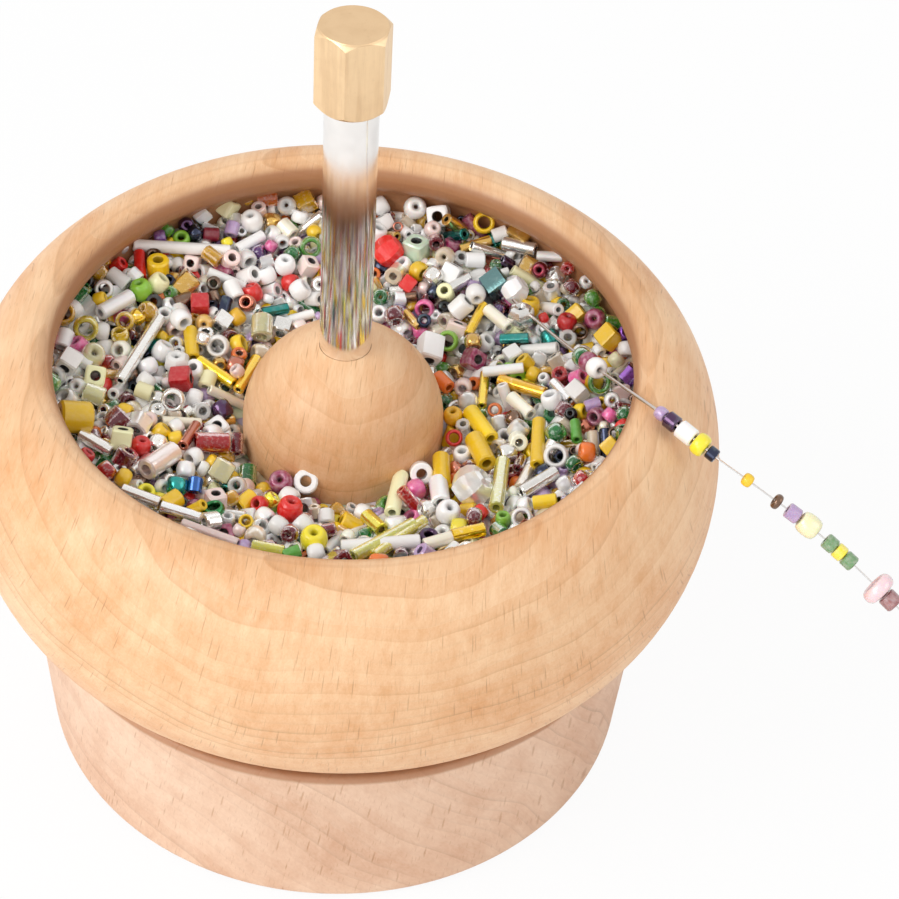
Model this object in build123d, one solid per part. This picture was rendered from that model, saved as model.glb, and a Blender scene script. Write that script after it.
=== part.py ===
from build123d import *
import math
import os
import random

os.makedirs("parts", exist_ok=True)

# A hand-turned bead spinner: a beech bowl with a dome in its middle stands on a spindle,
# and the spindle turns in two ball bearings inside a beech base.
# Millimetres, +Z up, the origin is the centre of the base's underside.

# Base block, narrower than the bowl above it
base_height = 32.8
base_inset = 9.1
base_taper = 2.0
base_foot_rounding = 2.3
base_top_rounding = 0.9
underside_recess_depth = 6.0
spin_gap = 1.6

# Bowl, turned from one block together with its dome
bowl_radius = 60.0
bowl_height = 42.2
bowl_wall = 11.4
bowl_foot_inset = 14.0
bowl_widest_drop = 20.2
rim_crest_inset = 12.0
rim_lip_width = 3.1
rim_lip_drop = 2.9
hollow_widest_drop = 9.8
hollow_corner_radius = 14.0
bowl_floor = 8.0
dome_radius = 15.9
dome_foot_fillet = 3.0

# Spindle rod and the hexagonal cap that is screwed on its top
rod_radius = 4.0
rod_exposed = 45.0
rod_end_chamfer = 0.4
spigot_radius = 3.0
spigot_length = 8.0
cap_across_flats = 10.0
cap_height = 13.0
cap_edge_chamfer = 0.9
cap_bore_spare = 0.5
cap_turn = 19.3

# Two like ball bearings
bearing_radius = 11.0
bearing_width = 7.0
bearing_ball_radius = 1.98
bearing_ball_count = 7
bearing_raceway_play = 0.08
bearing_land_depth = 0.8
shield_thickness = 0.35
shield_recess_depth = 0.55
shield_recess_wall = 1.5
cage_pocket_play = 0.1
cage_web = 0.6
cage_finger_height = 0.9
upper_bearing_drop = 0.5
bearing_shoulder = 2.5

# What clamps the spindle in its bearings
sleeve_wall = 1.4
washer_thickness = 1.5
washer_wall = 3.6
clamp_room = 0.3
screw_radius = 2.0
screw_head_radius = 3.8
screw_head_height = 2.2
screw_length = 10.0
screw_key_radius = 1.25
screw_key_depth = 1.2

# Beads in the hollow: a load of them as one ring, and single ones on top of it
bed_wall_drop = 10.0
bed_dome_drop = 17.1
bed_sag_share = 0.41
bead_climb = 1.9
bead_gap = 0.1
cut_bead_edge = 0.12
guard_inset_share = 0.6
bead_seed = 5

# Notable beads, laid by hand: style, radius, length, share of the way from dome to wall,
# turn about the spindle and heading on the bed in degrees
laid_beads = [
    ("bugle", 1.05, 16.0, 0.76, 129, -118),
    ("bugle", 1.05, 16.0, 0.55, 162, -91),
    ("bugle", 1.05, 6.0, 0.72, -162, 133),
    ("bugle", 1.00, 7.3, 0.18, 157, 167),
    ("bugle", 0.95, 6.1, 0.68, -142, 123),
    ("bugle", 0.90, 6.3, 0.59, -132, 117),
    ("bugle", 1.15, 12.4, 0.46, -78, 121),
    ("bugle", 1.10, 8.6, 0.39, 10, -42),
    ("bugle", 0.85, 6.9, 0.43, 44, -158),
    ("bugle", 0.90, 5.4, 0.80, 61, -45),
    ("bugle", 1.15, 6.8, 0.58, -31, 68),
    ("bugle", 0.90, 4.7, 0.49, 29, -37),
    ("bugle", 0.95, 4.4, 0.29, 116, -96),
    ("bugle", 1.20, 9.6, 0.44, -38, -61),
    ("bugle", 1.25, 8.4, 0.15, -65, -33),
    ("tube", 1.60, 5.3, 0.18, -157, 167),
    ("tube", 1.75, 5.6, 0.44, -152, -152),
    ("tube", 2.20, 4.6, 0.74, -169, -179),
    ("tube", 1.40, 6.2, 0.17, -5, -59),
    ("tube", 1.60, 5.0, 0.24, -24, -51),
    ("bugle", 1.10, 8.8, 0.50, -13, -79),
    ("tube", 1.20, 3.7, 0.86, 149, -179),
    ("tube", 1.15, 5.8, 0.37, 149, 127),
    ("hex", 1.95, 3.9, 0.60, 79, 20),
    ("cube", 1.75, 3.5, 0.64, 48, 35),
    ("round", 2.10, 3.8, 0.47, -97, 90),
    ("round", 2.00, 3.6, 0.27, -109, 0),
    ("tube", 1.85, 3.6, 0.76, 138, 70),
    ("cube", 1.50, 3.0, 0.50, 136, 20),
]

# Beads strewn between and on them: style, radius, length and how many are tried
strewn_beads = [
    ("round", 1.60, 2.9, 40),
    ("bugle", 0.95, 5.6, 40),
    ("cube", 1.30, 2.5, 40),
    ("ring", 1.80, 1.9, 40),
    ("hex", 1.35, 2.3, 60),
    ("tube", 1.40, 2.8, 120),
    ("seed", 1.50, 2.1, 400),
    ("tube", 1.10, 2.0, 300),
    ("seed", 1.10, 1.6, 1200),
]
bead_side_counts = {"cube": 4, "hex": 6}
ball_like_styles = ("seed", "ring", "round")
bead_bore_shares = {"bugle": 0.45, "tube": 0.45, "seed": 0.36, "ring": 0.55, "round": 0.25, "cube": 0.42,
                    "hex": 0.44}

# Clearances
seat_clearance = 0.02
glue_gap = 0.05
contents_clearance = 0.3
bead_hole_clearance = 0.15

# Curved needle, thread and the beads strung on them
needle_radius = 0.27
thread_radius = 0.15
thread_knot_radius = 0.9
bend_share = 0.45
needle_step_count = 120

# Places of the needle's route from its tip to its eye: across and along as shares of the
# rim crest's radius, up from the crest as shares of the bed's drop at the wall
needle_route_shares = [
    (0.510, 0.625, -1.207),
    (0.669, 0.340, -1.000),
    (0.798, 0.075, -0.599),
    (0.910, -0.200, -0.021),
    (1.003, -0.359, 0.207),
    (1.168, -0.475, -0.127),
]
# The thread goes on from the needle's eye: steps of its route in millimetres
thread_steps = [(5.8, -2.8, -4.1), (11.0, -5.3, -6.1), (12.6, -8.2, -6.4)]

# Strung beads from the needle's eye on, along the needle and along the thread:
# style, radius, length and the gap before the bead
needle_beads = [
    ("tube", 1.10, 1.60, 0.56),
    ("seed", 1.80, 2.20, 0.43),
    ("tube", 1.45, 2.90, 0.50),
    ("tube", 1.35, 2.10, 0.61),
    ("seed", 1.10, 1.90, 0.27),
    ("round", 1.60, 2.90, 12.50),
]
thread_beads = [
    ("seed", 1.05, 1.50, 4.35),
    ("ring", 1.25, 1.10, 3.80),
    ("tube", 1.25, 2.10, 1.14),
    ("seed", 1.80, 3.30, 0.49),
    ("tube", 1.25, 1.90, 1.33),
    ("tube", 1.25, 1.60, 0.24),
    ("tube", 1.25, 1.90, 0.39),
    ("ring", 2.60, 2.20, 3.95),
    ("tube", 1.45, 2.20, 1.36),
]
bead_rounding_shares = {"round": 0.98, "seed": 0.55, "tube": 0.15, "bugle": 0.12, "ring": 0.8}

# Radii that follow
bowl_foot_radius = bowl_radius - bowl_foot_inset
rim_crest_radius = bowl_radius - rim_crest_inset
rim_lip_radius = rim_crest_radius - rim_lip_width
hollow_radius = bowl_radius - bowl_wall
base_top_radius = bowl_radius - base_inset
base_foot_radius = base_top_radius - base_taper

# Heights that follow
bowl_foot_z = base_height + spin_gap
crest_z = bowl_foot_z + bowl_height
widest_z = crest_z - bowl_widest_drop
lip_z = crest_z - rim_lip_drop
hollow_widest_z = crest_z - hollow_widest_drop
floor_z = bowl_foot_z + bowl_floor
dome_centre_z = crest_z - dome_radius
cap_z = crest_z + rod_exposed
upper_bearing_z = base_height - upper_bearing_drop - bearing_width
lower_bearing_z = underside_recess_depth
pitch_radius = (rod_radius + bearing_radius) / 2
groove_radius = bearing_ball_radius + bearing_raceway_play
inner_land_radius = pitch_radius - groove_radius + bearing_land_depth
outer_land_radius = pitch_radius + groove_radius - bearing_land_depth
shoulder_radius = bearing_radius - bearing_shoulder


def turned(outline):
    """Revolve a closed outline of the XZ plane about the spindle's axis."""
    return revolve(Plane.XZ * make_face(outline), Axis.Z)


def tube(outer, inner, low, high):
    """A plain ring between two heights."""
    height = high - low
    ring = Cylinder(outer, height) - Cylinder(inner, height)
    return Pos(0, 0, (low + high) / 2) * ring


def keep(shape, name):
    """Write one piece, or one group of like pieces, to its own file."""
    shape.label = name
    export_step(shape, "parts/" + name + ".step")


# Turned wood

def base_block():
    """The base: a tapered drum with a seat for a bearing at each end of its bore."""
    seat = bearing_radius + seat_clearance
    lower_shoulder_z = lower_bearing_z + bearing_width
    side_x = base_foot_radius - base_foot_rounding
    top_x = base_top_radius - base_top_rounding
    outline = (
        Line((seat, 0), (side_x, 0))
        + EllipticalCenterArc((side_x, base_foot_rounding), base_foot_rounding, base_foot_rounding,
                              start_angle=-90, arc_size=90)
        + Line((base_foot_radius, base_foot_rounding), (base_top_radius, base_height - base_top_rounding))
        + EllipticalCenterArc((top_x, base_height - base_top_rounding), base_top_rounding,
                              base_top_rounding, start_angle=0, arc_size=90)
        + Polyline((top_x, base_height), (seat, base_height), (seat, upper_bearing_z),
                   (shoulder_radius, upper_bearing_z), (shoulder_radius, lower_shoulder_z),
                   (seat, lower_shoulder_z), (seat, 0))
    )
    return turned(outline)


def bowl():
    """The bowl: a full-bellied turning with a rim that curls in over its hollow."""
    bore = rod_radius + glue_gap
    corner_x = hollow_radius - hollow_corner_radius
    fillet_x = dome_radius + dome_foot_fillet
    fillet_z = floor_z + dome_foot_fillet
    dome_end_z = dome_centre_z + math.sqrt(dome_radius ** 2 - bore ** 2)
    dome_end_angle = math.degrees(math.acos(bore / dome_radius))
    outline = (
        Line((bore, bowl_foot_z), (bowl_foot_radius, bowl_foot_z))
        + EllipticalCenterArc((bowl_foot_radius, widest_z), bowl_radius - bowl_foot_radius,
                              widest_z - bowl_foot_z, start_angle=-90, arc_size=90)
        + EllipticalCenterArc((rim_crest_radius, widest_z), bowl_radius - rim_crest_radius,
                              crest_z - widest_z, start_angle=0, arc_size=90)
        + EllipticalCenterArc((rim_crest_radius, lip_z), rim_crest_radius - rim_lip_radius,
                              crest_z - lip_z, start_angle=90, arc_size=90)
        + Spline((rim_lip_radius, lip_z), (hollow_radius, hollow_widest_z), tangents=[(0, -1), (0, -1)])
        + EllipticalCenterArc((corner_x, hollow_widest_z), hollow_corner_radius,
                              hollow_widest_z - floor_z, start_angle=-90, arc_size=90)
        + Line((corner_x, floor_z), (fillet_x, floor_z))
        + CenterArc((fillet_x, fillet_z), dome_foot_fillet, 180, 90)
        + Line((dome_radius, fillet_z), (dome_radius, dome_centre_z))
        + CenterArc((0, dome_centre_z), dome_radius, 0, dome_end_angle)
        + Line((bore, dome_end_z), (bore, bowl_foot_z))
    )
    return turned(outline)


def bed_line():
    """The dished surface of the load, from the dome to the wall, in the XZ plane."""
    start = (dome_radius + contents_clearance, crest_z - bed_dome_drop)
    end = (hollow_radius - contents_clearance, crest_z - bed_wall_drop)
    middle = ((start[0] + end[0]) / 2, start[1] + bed_sag_share * (end[1] - start[1]))
    return ThreePointArc(start, middle, end)


def bead_load():
    """The load of beads in the hollow: a dished ring that keeps clear of the wood all round."""
    surface = bed_line()
    inner, dome_side_z = surface.position_at(0).X, surface.position_at(0).Y
    outer, wall_z = surface.position_at(1).X, surface.position_at(1).Y
    low_z = floor_z + contents_clearance
    corner_x = hollow_radius - hollow_corner_radius
    fillet_x = dome_radius + dome_foot_fillet
    fillet_z = floor_z + dome_foot_fillet
    outline = (
        surface
        + Line((outer, wall_z), (outer, hollow_widest_z - contents_clearance))
        + EllipticalCenterArc((corner_x, hollow_widest_z - contents_clearance),
                              hollow_corner_radius - contents_clearance,
                              hollow_widest_z - contents_clearance - low_z,
                              start_angle=-90, arc_size=90)
        + Line((corner_x, low_z), (fillet_x, low_z))
        + CenterArc((fillet_x, fillet_z), dome_foot_fillet - contents_clearance, 180, 90)
        + Line((inner, fillet_z), (inner, dome_side_z))
    )
    return turned(outline)


# Spindle, cap and what clamps them

def spindle_rod():
    """The rod: bored for the screw below, turned down to a spigot for the cap above."""
    foot_z = lower_bearing_z + clamp_room
    rod = Pos(0, 0, (foot_z + cap_z) / 2) * Cylinder(rod_radius, cap_z - foot_z)
    rod = chamfer(rod.edges().group_by(Axis.Z)[0], rod_end_chamfer)
    rod += Pos(0, 0, cap_z + spigot_length / 2) * Cylinder(spigot_radius, spigot_length)
    rod = chamfer(rod.edges().group_by(Axis.Z)[-1], rod_end_chamfer)
    hole_depth = screw_length + clamp_room
    hole = Cylinder(screw_radius + glue_gap, hole_depth)
    return rod - Pos(0, 0, foot_z + hole_depth / 2) * hole


def hex_cap():
    """The cap: hexagonal bar with both ends turned off at the corners, bored blind from below."""
    corner_radius = cap_across_flats / math.sqrt(3)
    bar = extrude(RegularPolygon(cap_across_flats / 2, 6, major_radius=False), cap_height)
    bar = Rot(0, 0, cap_turn) * bar
    inset = corner_radius - cap_edge_chamfer
    crown = turned(Polyline(
        (0, 0), (inset, 0), (corner_radius, cap_edge_chamfer),
        (corner_radius, cap_height - cap_edge_chamfer), (inset, cap_height), (0, cap_height), (0, 0)))
    bore_depth = spigot_length + cap_bore_spare
    bore = Pos(0, 0, bore_depth / 2) * Cylinder(spigot_radius + glue_gap, bore_depth)
    return Pos(0, 0, cap_z) * ((bar & crown) - bore)


def spacer_ring():
    """The washer between the upper inner ring and the bowl, which holds the spin gap open."""
    top_of_bearing = upper_bearing_z + bearing_width
    return tube(inner_land_radius, rod_radius + seat_clearance, top_of_bearing, bowl_foot_z)


def inner_sleeve():
    """The sleeve that keeps the two inner rings apart."""
    inner = rod_radius + seat_clearance
    return tube(inner + sleeve_wall, inner, lower_bearing_z + bearing_width, upper_bearing_z)


def retaining_washer():
    """The washer under the lower inner ring."""
    return tube(screw_radius + washer_wall, screw_radius + glue_gap,
                lower_bearing_z - washer_thickness, lower_bearing_z)


def retaining_screw():
    """The socket screw in the rod's foot."""
    seat_z = lower_bearing_z - washer_thickness
    shank_length = screw_length + washer_thickness
    shank = Pos(0, 0, seat_z + shank_length / 2) * Cylinder(screw_radius, shank_length)
    head = Pos(0, 0, seat_z - screw_head_height / 2) * Cylinder(screw_head_radius, screw_head_height)
    head = fillet(head.edges().group_by(Axis.Z)[0], screw_head_height / 2)
    key = extrude(RegularPolygon(screw_key_radius, 6, major_radius=False), screw_key_depth)
    return head + shank - Pos(0, 0, seat_z - screw_head_height) * key


# Ball bearings

def ball_places():
    """Where a bearing's balls sit, about its middle."""
    step = 360 / bearing_ball_count
    return [Rot(0, 0, step * index) * Pos(pitch_radius, 0, 0) for index in range(bearing_ball_count)]


def outer_ring():
    """Outer ring with its raceway and a recess for a shield at each end."""
    ring = Cylinder(bearing_radius, bearing_width) - Cylinder(outer_land_radius, bearing_width)
    ring -= Torus(pitch_radius, groove_radius)
    recess = Cylinder(bearing_radius - shield_recess_wall, shield_recess_depth)
    recess_z = (bearing_width - shield_recess_depth) / 2
    return ring - Pos(0, 0, recess_z) * recess - Pos(0, 0, -recess_z) * recess


def inner_ring():
    """Inner ring with its raceway."""
    ring = Cylinder(inner_land_radius, bearing_width)
    ring -= Cylinder(rod_radius + seat_clearance, bearing_width)
    return ring - Torus(pitch_radius, groove_radius)


def balls():
    """The balls of one bearing."""
    return Compound(children=[place * Sphere(bearing_ball_radius) for place in ball_places()])


def cage():
    """Crown cage: a web under the balls with a finger between each two."""
    pocket_radius = bearing_ball_radius + cage_pocket_play
    wall = (outer_land_radius - inner_land_radius) / 2 - contents_clearance
    low = -pocket_radius - cage_web
    ring = tube(pitch_radius + wall, pitch_radius - wall, low, cage_finger_height)
    for place in ball_places():
        ring -= place * Sphere(pocket_radius)
    return ring


def shields():
    """The two shields of one bearing, seated in the outer ring's recesses."""
    outer = bearing_radius - shield_recess_wall - seat_clearance
    inner = inner_land_radius + contents_clearance
    seat_z = bearing_width / 2 - shield_recess_depth
    upper = tube(outer, inner, seat_z, seat_z + shield_thickness)
    return Compound(children=[upper, mirror(upper, Plane.XY)])


# Needle, thread and strung beads

def eased(points):
    """A route of straight runs joined by the largest tangent arcs that its runs allow."""
    runs = [Vector(*end) - Vector(*start) for start, end in zip(points, points[1:])]
    radii = []
    for before, after in zip(runs, runs[1:]):
        half_turn = math.radians(before.get_angle(after)) / 2
        radii.append(bend_share * min(before.length, after.length) / math.tan(half_turn))
    print("bend radii", [round(radius, 1) for radius in radii])
    return FilletPolyline(*points, radius=radii)


def swept(route, radius):
    """A round wire along a route."""
    start = Plane(route @ 0, z_dir=route % 0)
    return sweep(start * Circle(radius), path=route)


def bead_rounding(style, radius, length, hole_radius):
    """Radius of the rounding at a turned bead's ends."""
    return bead_rounding_shares[style] * min(radius - hole_radius, length / 2)


def strung_bead(style, radius, length, hole_radius):
    """One bead about its own hole: rounded more or less, with a straight bore."""
    rounding = bead_rounding(style, radius, length, hole_radius)
    half = length / 2
    edge_x = radius - rounding
    edge_z = half - rounding
    outline = (
        Polyline((edge_x, -half), (hole_radius, -half), (hole_radius, half), (edge_x, half))
        + CenterArc((edge_x, edge_z), rounding, 0, 90)
        + Line((radius, edge_z), (radius, -edge_z))
        + CenterArc((edge_x, -edge_z), rounding, -90, 90)
    )
    return turned(outline)


def strung(route, beads, wire_radius, from_end=False):
    """Beads strung one after another along a route, each square to it."""
    pieces = []
    reached = 0
    for style, radius, length, gap in beads:
        middle = reached + gap + length / 2
        reached = middle + length / 2
        share = (route.length - middle if from_end else middle) / route.length
        place = Location(Plane(route @ share, z_dir=route % share))
        pieces.append(place * strung_bead(style, radius, length, wire_radius + bead_hole_clearance))
    return Compound(children=pieces)


def needle_points():
    """The needle's route, from its tip in the beads to its eye outside the rim."""
    return [(x * rim_crest_radius, y * rim_crest_radius, crest_z + z * bed_wall_drop)
            for x, y, z in needle_route_shares]


def thread_points():
    """The thread's route, from the needle's eye."""
    points = [needle_points()[-1]]
    for step in thread_steps:
        points.append(tuple(place + part for place, part in zip(points[-1], step)))
    return points


def thread_knot(route):
    """The knot that ends the thread."""
    centre = route @ 1 + (route % 1) * thread_knot_radius
    return Pos(*centre) * Sphere(thread_knot_radius)


# Single beads on top of the load

def bead_reach(style, radius):
    """How far a bead's side is from its hole's axis, over the corners of a cut bead."""
    return radius / math.cos(math.pi / bead_side_counts[style]) if style in bead_side_counts else radius


def loose_bead(style, radius, length):
    """One bead about its own hole, turned or cut from square or hexagonal cane."""
    hole_radius = radius * bead_bore_shares[style]
    if style not in bead_side_counts:
        return strung_bead(style, radius, length, hole_radius)
    outline = RegularPolygon(radius, bead_side_counts[style], major_radius=False)
    cane = extrude(outline, length / 2, both=True)
    return chamfer(cane.edges(), cut_bead_edge) - Cylinder(hole_radius, length)


def hollow_reach(height):
    """How far the hollow's wall is from the spindle at a height over its widest place."""
    share = min(max((height - hollow_widest_z) / (lip_z - hollow_widest_z), 0), 1)
    return hollow_radius - (hollow_radius - rim_lip_radius) * share ** 2 * (3 - 2 * share)


def guard_balls(style, radius, length):
    """Balls along a bead's hole that hold all of the bead: their places on it and their radius."""
    reach = bead_reach(style, radius)
    if style in ball_like_styles:
        rounding = bead_rounding(style, radius, length, radius * bead_bore_shares[style])
        return [0], math.hypot(radius - rounding, length / 2 - rounding) + rounding
    spread = max(0, length / 2 - guard_inset_share * reach)
    steps = math.ceil(2 * spread / reach)
    places = [spread * (index / steps * 2 - 1) for index in range(steps + 1)] if steps else [0]
    return places, math.hypot(reach, length / 2 - spread)


class BeadPlace:
    """Where a bead lies over the load's surface.

    share goes along the surface from the dome to the wall, turn is about the spindle, heading is
    the hole's way on the surface and tilt lifts it out of the surface.
    """

    def __init__(self, kind, share, turn, heading, tilt):
        style, radius, length = kind
        surface = bed_line()
        spot, slope = surface @ share, surface % share
        radial, up = Vector(math.cos(turn), math.sin(turn), 0), Vector(0, 0, 1)
        outwards = radial * slope.X + up * slope.Y
        self.normal = up * slope.X - radial * slope.Y
        level = outwards * math.cos(heading) + self.normal.cross(outwards) * math.sin(heading)
        self.hole = level * math.cos(tilt) + self.normal * math.sin(tilt)
        self.lift = length / 2 * abs(math.sin(tilt)) + bead_reach(style, radius) * math.cos(tilt)
        self.lift += contents_clearance
        self.climb = 0
        self.foot = radial * spot.X + up * spot.Y
        self.guard_places, self.guard_radius = guard_balls(style, radius, length)

    def balls(self):
        centre = self.foot + self.normal * self.lift
        return [(tuple(centre + self.hole * place), self.guard_radius) for place in self.guard_places]

    def drop_onto(self, taken):
        """Lift the bead until it lies on what is taken, as if dropped on it."""
        normal = tuple(self.normal)
        for centre, radius in self.balls():
            for other, other_radius in taken:
                apart = [theirs - ours for theirs, ours in zip(other, centre)]
                along = sum(part * way for part, way in zip(apart, normal))
                beside = sum(part ** 2 for part in apart) - along ** 2
                contact = (radius + other_radius + bead_gap) ** 2
                if beside < contact:
                    self.climb = max(self.climb, along + math.sqrt(contact - beside))
        self.lift += self.climb

    def is_clear(self, kept_free):
        """Whether the bead is low enough and clear of the dome, the wall and what is kept free."""
        if self.climb > bead_climb:
            return False
        for centre, radius in self.balls():
            away = math.hypot(centre[0], centre[1])
            if away - radius < dome_radius + contents_clearance:
                return False
            if away + radius + contents_clearance > hollow_reach(centre[2] + radius):
                return False
            if any(math.dist(centre[:2], other[:2]) < radius + other_radius + bead_gap
                   for other, other_radius in kept_free):
                return False
        return True

    def location(self):
        return Location(Plane(tuple(self.foot + self.normal * self.lift), z_dir=tuple(self.hole)))


def loose_beads(kept_free):
    """Single beads by style: the notable ones first, then those strewn between and on them."""
    draw = random.Random(bead_seed)
    inner = dome_radius + contents_clearance
    outer = hollow_radius - contents_clearance
    laid = [(kind[:3], kind[3], math.radians(kind[4]), math.radians(kind[5]), 0) for kind in laid_beads]
    strewn = []
    for *kind, tries in strewn_beads:
        for _ in range(tries):
            away = math.sqrt(draw.uniform(inner ** 2, outer ** 2))
            tilt = 0 if kind[0] == "bugle" else math.asin(draw.uniform(-1, 1))
            strewn.append((tuple(kind), (away - inner) / (outer - inner), draw.uniform(0, 2 * math.pi),
                           draw.uniform(0, 2 * math.pi), tilt))
    shapes = {}
    taken = []
    groups = {style: [] for style in bead_bore_shares}
    for kind, *where in laid + strewn:
        place = BeadPlace(kind, *where)
        place.drop_onto(taken)
        if not place.is_clear(kept_free):
            continue
        taken += place.balls()
        if kind not in shapes:
            shapes[kind] = loose_bead(*kind)
        groups[kind[0]].append(place.location() * shapes[kind])
    return groups


keep(base_block(), "base_block")
keep(bowl(), "bowl")
keep(bead_load(), "bead_load")
keep(spindle_rod(), "spindle_rod")
keep(hex_cap(), "hex_cap")
keep(spacer_ring(), "spacer_ring")
keep(inner_sleeve(), "inner_sleeve")
keep(retaining_washer(), "retaining_washer")
keep(retaining_screw(), "retaining_screw")
for side, low_z in (("upper", upper_bearing_z), ("lower", lower_bearing_z)):
    middle_z = low_z + bearing_width / 2
    keep(Pos(0, 0, middle_z) * outer_ring(), side + "_outer_ring")
    keep(Pos(0, 0, middle_z) * inner_ring(), side + "_inner_ring")
    keep(Pos(0, 0, middle_z) * balls(), side + "_balls")
    keep(Pos(0, 0, middle_z) * cage(), side + "_cage")
    keep(Pos(0, 0, middle_z) * shields(), side + "_shields")
needle_route = eased(needle_points())
thread_route = eased(thread_points())
keep(swept(needle_route, needle_radius), "needle")
beads_on_needle = strung(needle_route, needle_beads, needle_radius, from_end=True)
keep(beads_on_needle, "needle_beads")
keep(swept(thread_route, thread_radius), "thread")
keep(strung(thread_route, thread_beads, thread_radius), "thread_beads")
keep(thread_knot(thread_route), "thread_knot")
in_the_way = [(tuple(needle_route @ (step / needle_step_count)), needle_radius)
              for step in range(needle_step_count + 1)]
in_the_way += [(tuple(bead.center()), bead.bounding_box().diagonal / 2) for bead in beads_on_needle.solids()]
for style, beads in loose_beads(in_the_way).items():
    print(style, len(beads))
    keep(Compound(children=beads), style + "_beads")
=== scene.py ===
import math
import random

import bpy
import numpy as np
from bpy.props import FloatProperty, FloatVectorProperty, IntProperty, PointerProperty
from mathutils import Matrix, Vector


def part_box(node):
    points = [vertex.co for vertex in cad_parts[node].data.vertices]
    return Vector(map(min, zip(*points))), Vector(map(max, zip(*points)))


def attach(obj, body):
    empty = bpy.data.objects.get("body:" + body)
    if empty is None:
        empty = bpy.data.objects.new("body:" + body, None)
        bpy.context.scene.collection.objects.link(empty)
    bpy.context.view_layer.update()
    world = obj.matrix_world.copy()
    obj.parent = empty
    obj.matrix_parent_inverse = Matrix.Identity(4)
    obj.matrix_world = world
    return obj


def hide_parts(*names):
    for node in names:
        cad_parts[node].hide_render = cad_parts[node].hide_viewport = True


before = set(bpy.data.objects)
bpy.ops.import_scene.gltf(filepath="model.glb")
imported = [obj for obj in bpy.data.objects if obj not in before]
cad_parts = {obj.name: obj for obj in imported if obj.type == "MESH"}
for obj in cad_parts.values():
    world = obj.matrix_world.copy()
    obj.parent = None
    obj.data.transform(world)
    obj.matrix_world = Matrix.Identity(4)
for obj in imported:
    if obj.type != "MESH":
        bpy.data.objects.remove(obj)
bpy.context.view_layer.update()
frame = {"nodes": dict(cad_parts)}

bl_info = {
    "name": "Bead spinner finish",
    "version": (1, 0, 0),
    "blender": (4, 5, 0),
    "location": "View3D > Sidebar > Bead spinner",
    "description": "Beech, steel, brass and loose glass beads for a turned bead spinner",
    "category": "Object",
}

MM = 0.001
BOWL_LOW, BOWL_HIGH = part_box("bowl")
LOAD_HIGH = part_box("bead_load")[1]

# Heights and radii of the frame's pieces, in millimetres
FOOT_Z = BOWL_LOW.z / MM
CREST_Z = BOWL_HIGH.z / MM
WALL_RADIUS = LOAD_HIGH.x / MM
WALL_Z = LOAD_HIGH.z / MM
CAP_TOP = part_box("hex_cap")[1].z / MM
BASE_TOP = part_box("base_block")[1].z / MM

# The bowl's inside, in millimetres: each drop is below the rim's crest
LOAD_CLEARANCE = 0.3
CREST_RADIUS = WALL_RADIUS - LOAD_CLEARANCE
DOME_RADIUS = 15.9
DOME_REACH = 15.95
BED_INNER_RADIUS = 16.2
BED_DOME_DROP = 17.1
BED_SLOPE = 0.64
BED_CURVE = 0.36
HOLLOW_WIDEST_DROP = 9.8
HOLLOW_MIDDLE_RADIUS = 34.6
HOLLOW_CORNER = 14.0
HOLLOW_DEPTH = 24.4
LIP_RISE = 6.9
LIP_WIDTH = 3.7

# The CAD nodes that the loose beads stand for
LOAD_NODES = ("bead_load", "bugle_beads", "tube_beads", "seed_beads", "ring_beads", "round_beads",
              "cube_beads", "hex_beads")

# The photo's square frame
IMAGE_PIXELS = 899
SENSOR = 36.0


# Sizes and colours that a user would change

class SpinnerStage(bpy.types.PropertyGroup):
    """Camera, floor and lamps"""

    lens: FloatProperty(name="Lens", description="Focal length of the camera", default=99.691)
    eye: FloatVectorProperty(name="Camera place", description="Where the camera stands",
                             default=(0.0, -0.28992, 0.32931), subtype="TRANSLATION", unit="LENGTH")
    yaw: FloatProperty(name="Yaw", description="Turn of the camera to the right",
                       default=math.radians(3.391), subtype="ANGLE", unit="ROTATION")
    pitch: FloatProperty(name="Pitch", description="Tilt of the camera below the horizon",
                         default=math.radians(43.443), subtype="ANGLE", unit="ROTATION")
    roll: FloatProperty(name="Roll", description="Roll of the camera about its own view",
                        default=math.radians(3.915), subtype="ANGLE", unit="ROTATION")
    key_power: FloatProperty(name="Key lamp", description="Power of the large lamp at the upper left",
                             default=5.9, unit="POWER")
    fill_power: FloatProperty(name="Fill lamp", description="Power of the lamp at the right",
                              default=0.95, unit="POWER")
    front_power: FloatProperty(name="Front lamp", description="Power of the low lamp in front",
                               default=1.5, unit="POWER")
    sky: FloatProperty(name="Sky", description="Strength of the even light from all round",
                       default=0.70)
    floor_colour: FloatVectorProperty(name="Floor", description="Colour of the floor",
                                      default=(0.93, 0.93, 0.93), subtype="COLOR")
    floor_glow: FloatProperty(name="Floor lift", default=0.92, subtype="FACTOR", min=0, max=1,
                              description="Share of plain white that the camera sees on the floor")


class SpinnerWood(bpy.types.PropertyGroup):
    """Beech of the bowl and of the base"""

    pale: FloatVectorProperty(name="Bowl, pale wood", description="Early wood of the bowl",
                              default=(0.91, 0.605, 0.36), subtype="COLOR")
    warm: FloatVectorProperty(name="Bowl, warm wood", description="Late wood of the bowl",
                              default=(0.72, 0.345, 0.14), subtype="COLOR")
    base_pale: FloatVectorProperty(name="Base, pale wood", description="Early wood of the base",
                                   default=(0.85, 0.61, 0.445), subtype="COLOR")
    base_warm: FloatVectorProperty(name="Base, warm wood", description="Late wood of the base",
                                   default=(0.64, 0.365, 0.225), subtype="COLOR")
    shade: FloatVectorProperty(name="Shaded wood",
                               description="Wood under the rim's lip and in the spin gap",
                               default=(0.40, 0.175, 0.075), subtype="COLOR")
    fleck: FloatVectorProperty(name="Ray fleck", description="Short dark rays",
                               default=(0.43, 0.19, 0.07), subtype="COLOR")
    ring_step: FloatProperty(name="Ring step", description="Distance between growth rings in millimetres",
                             default=1.9)


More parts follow.
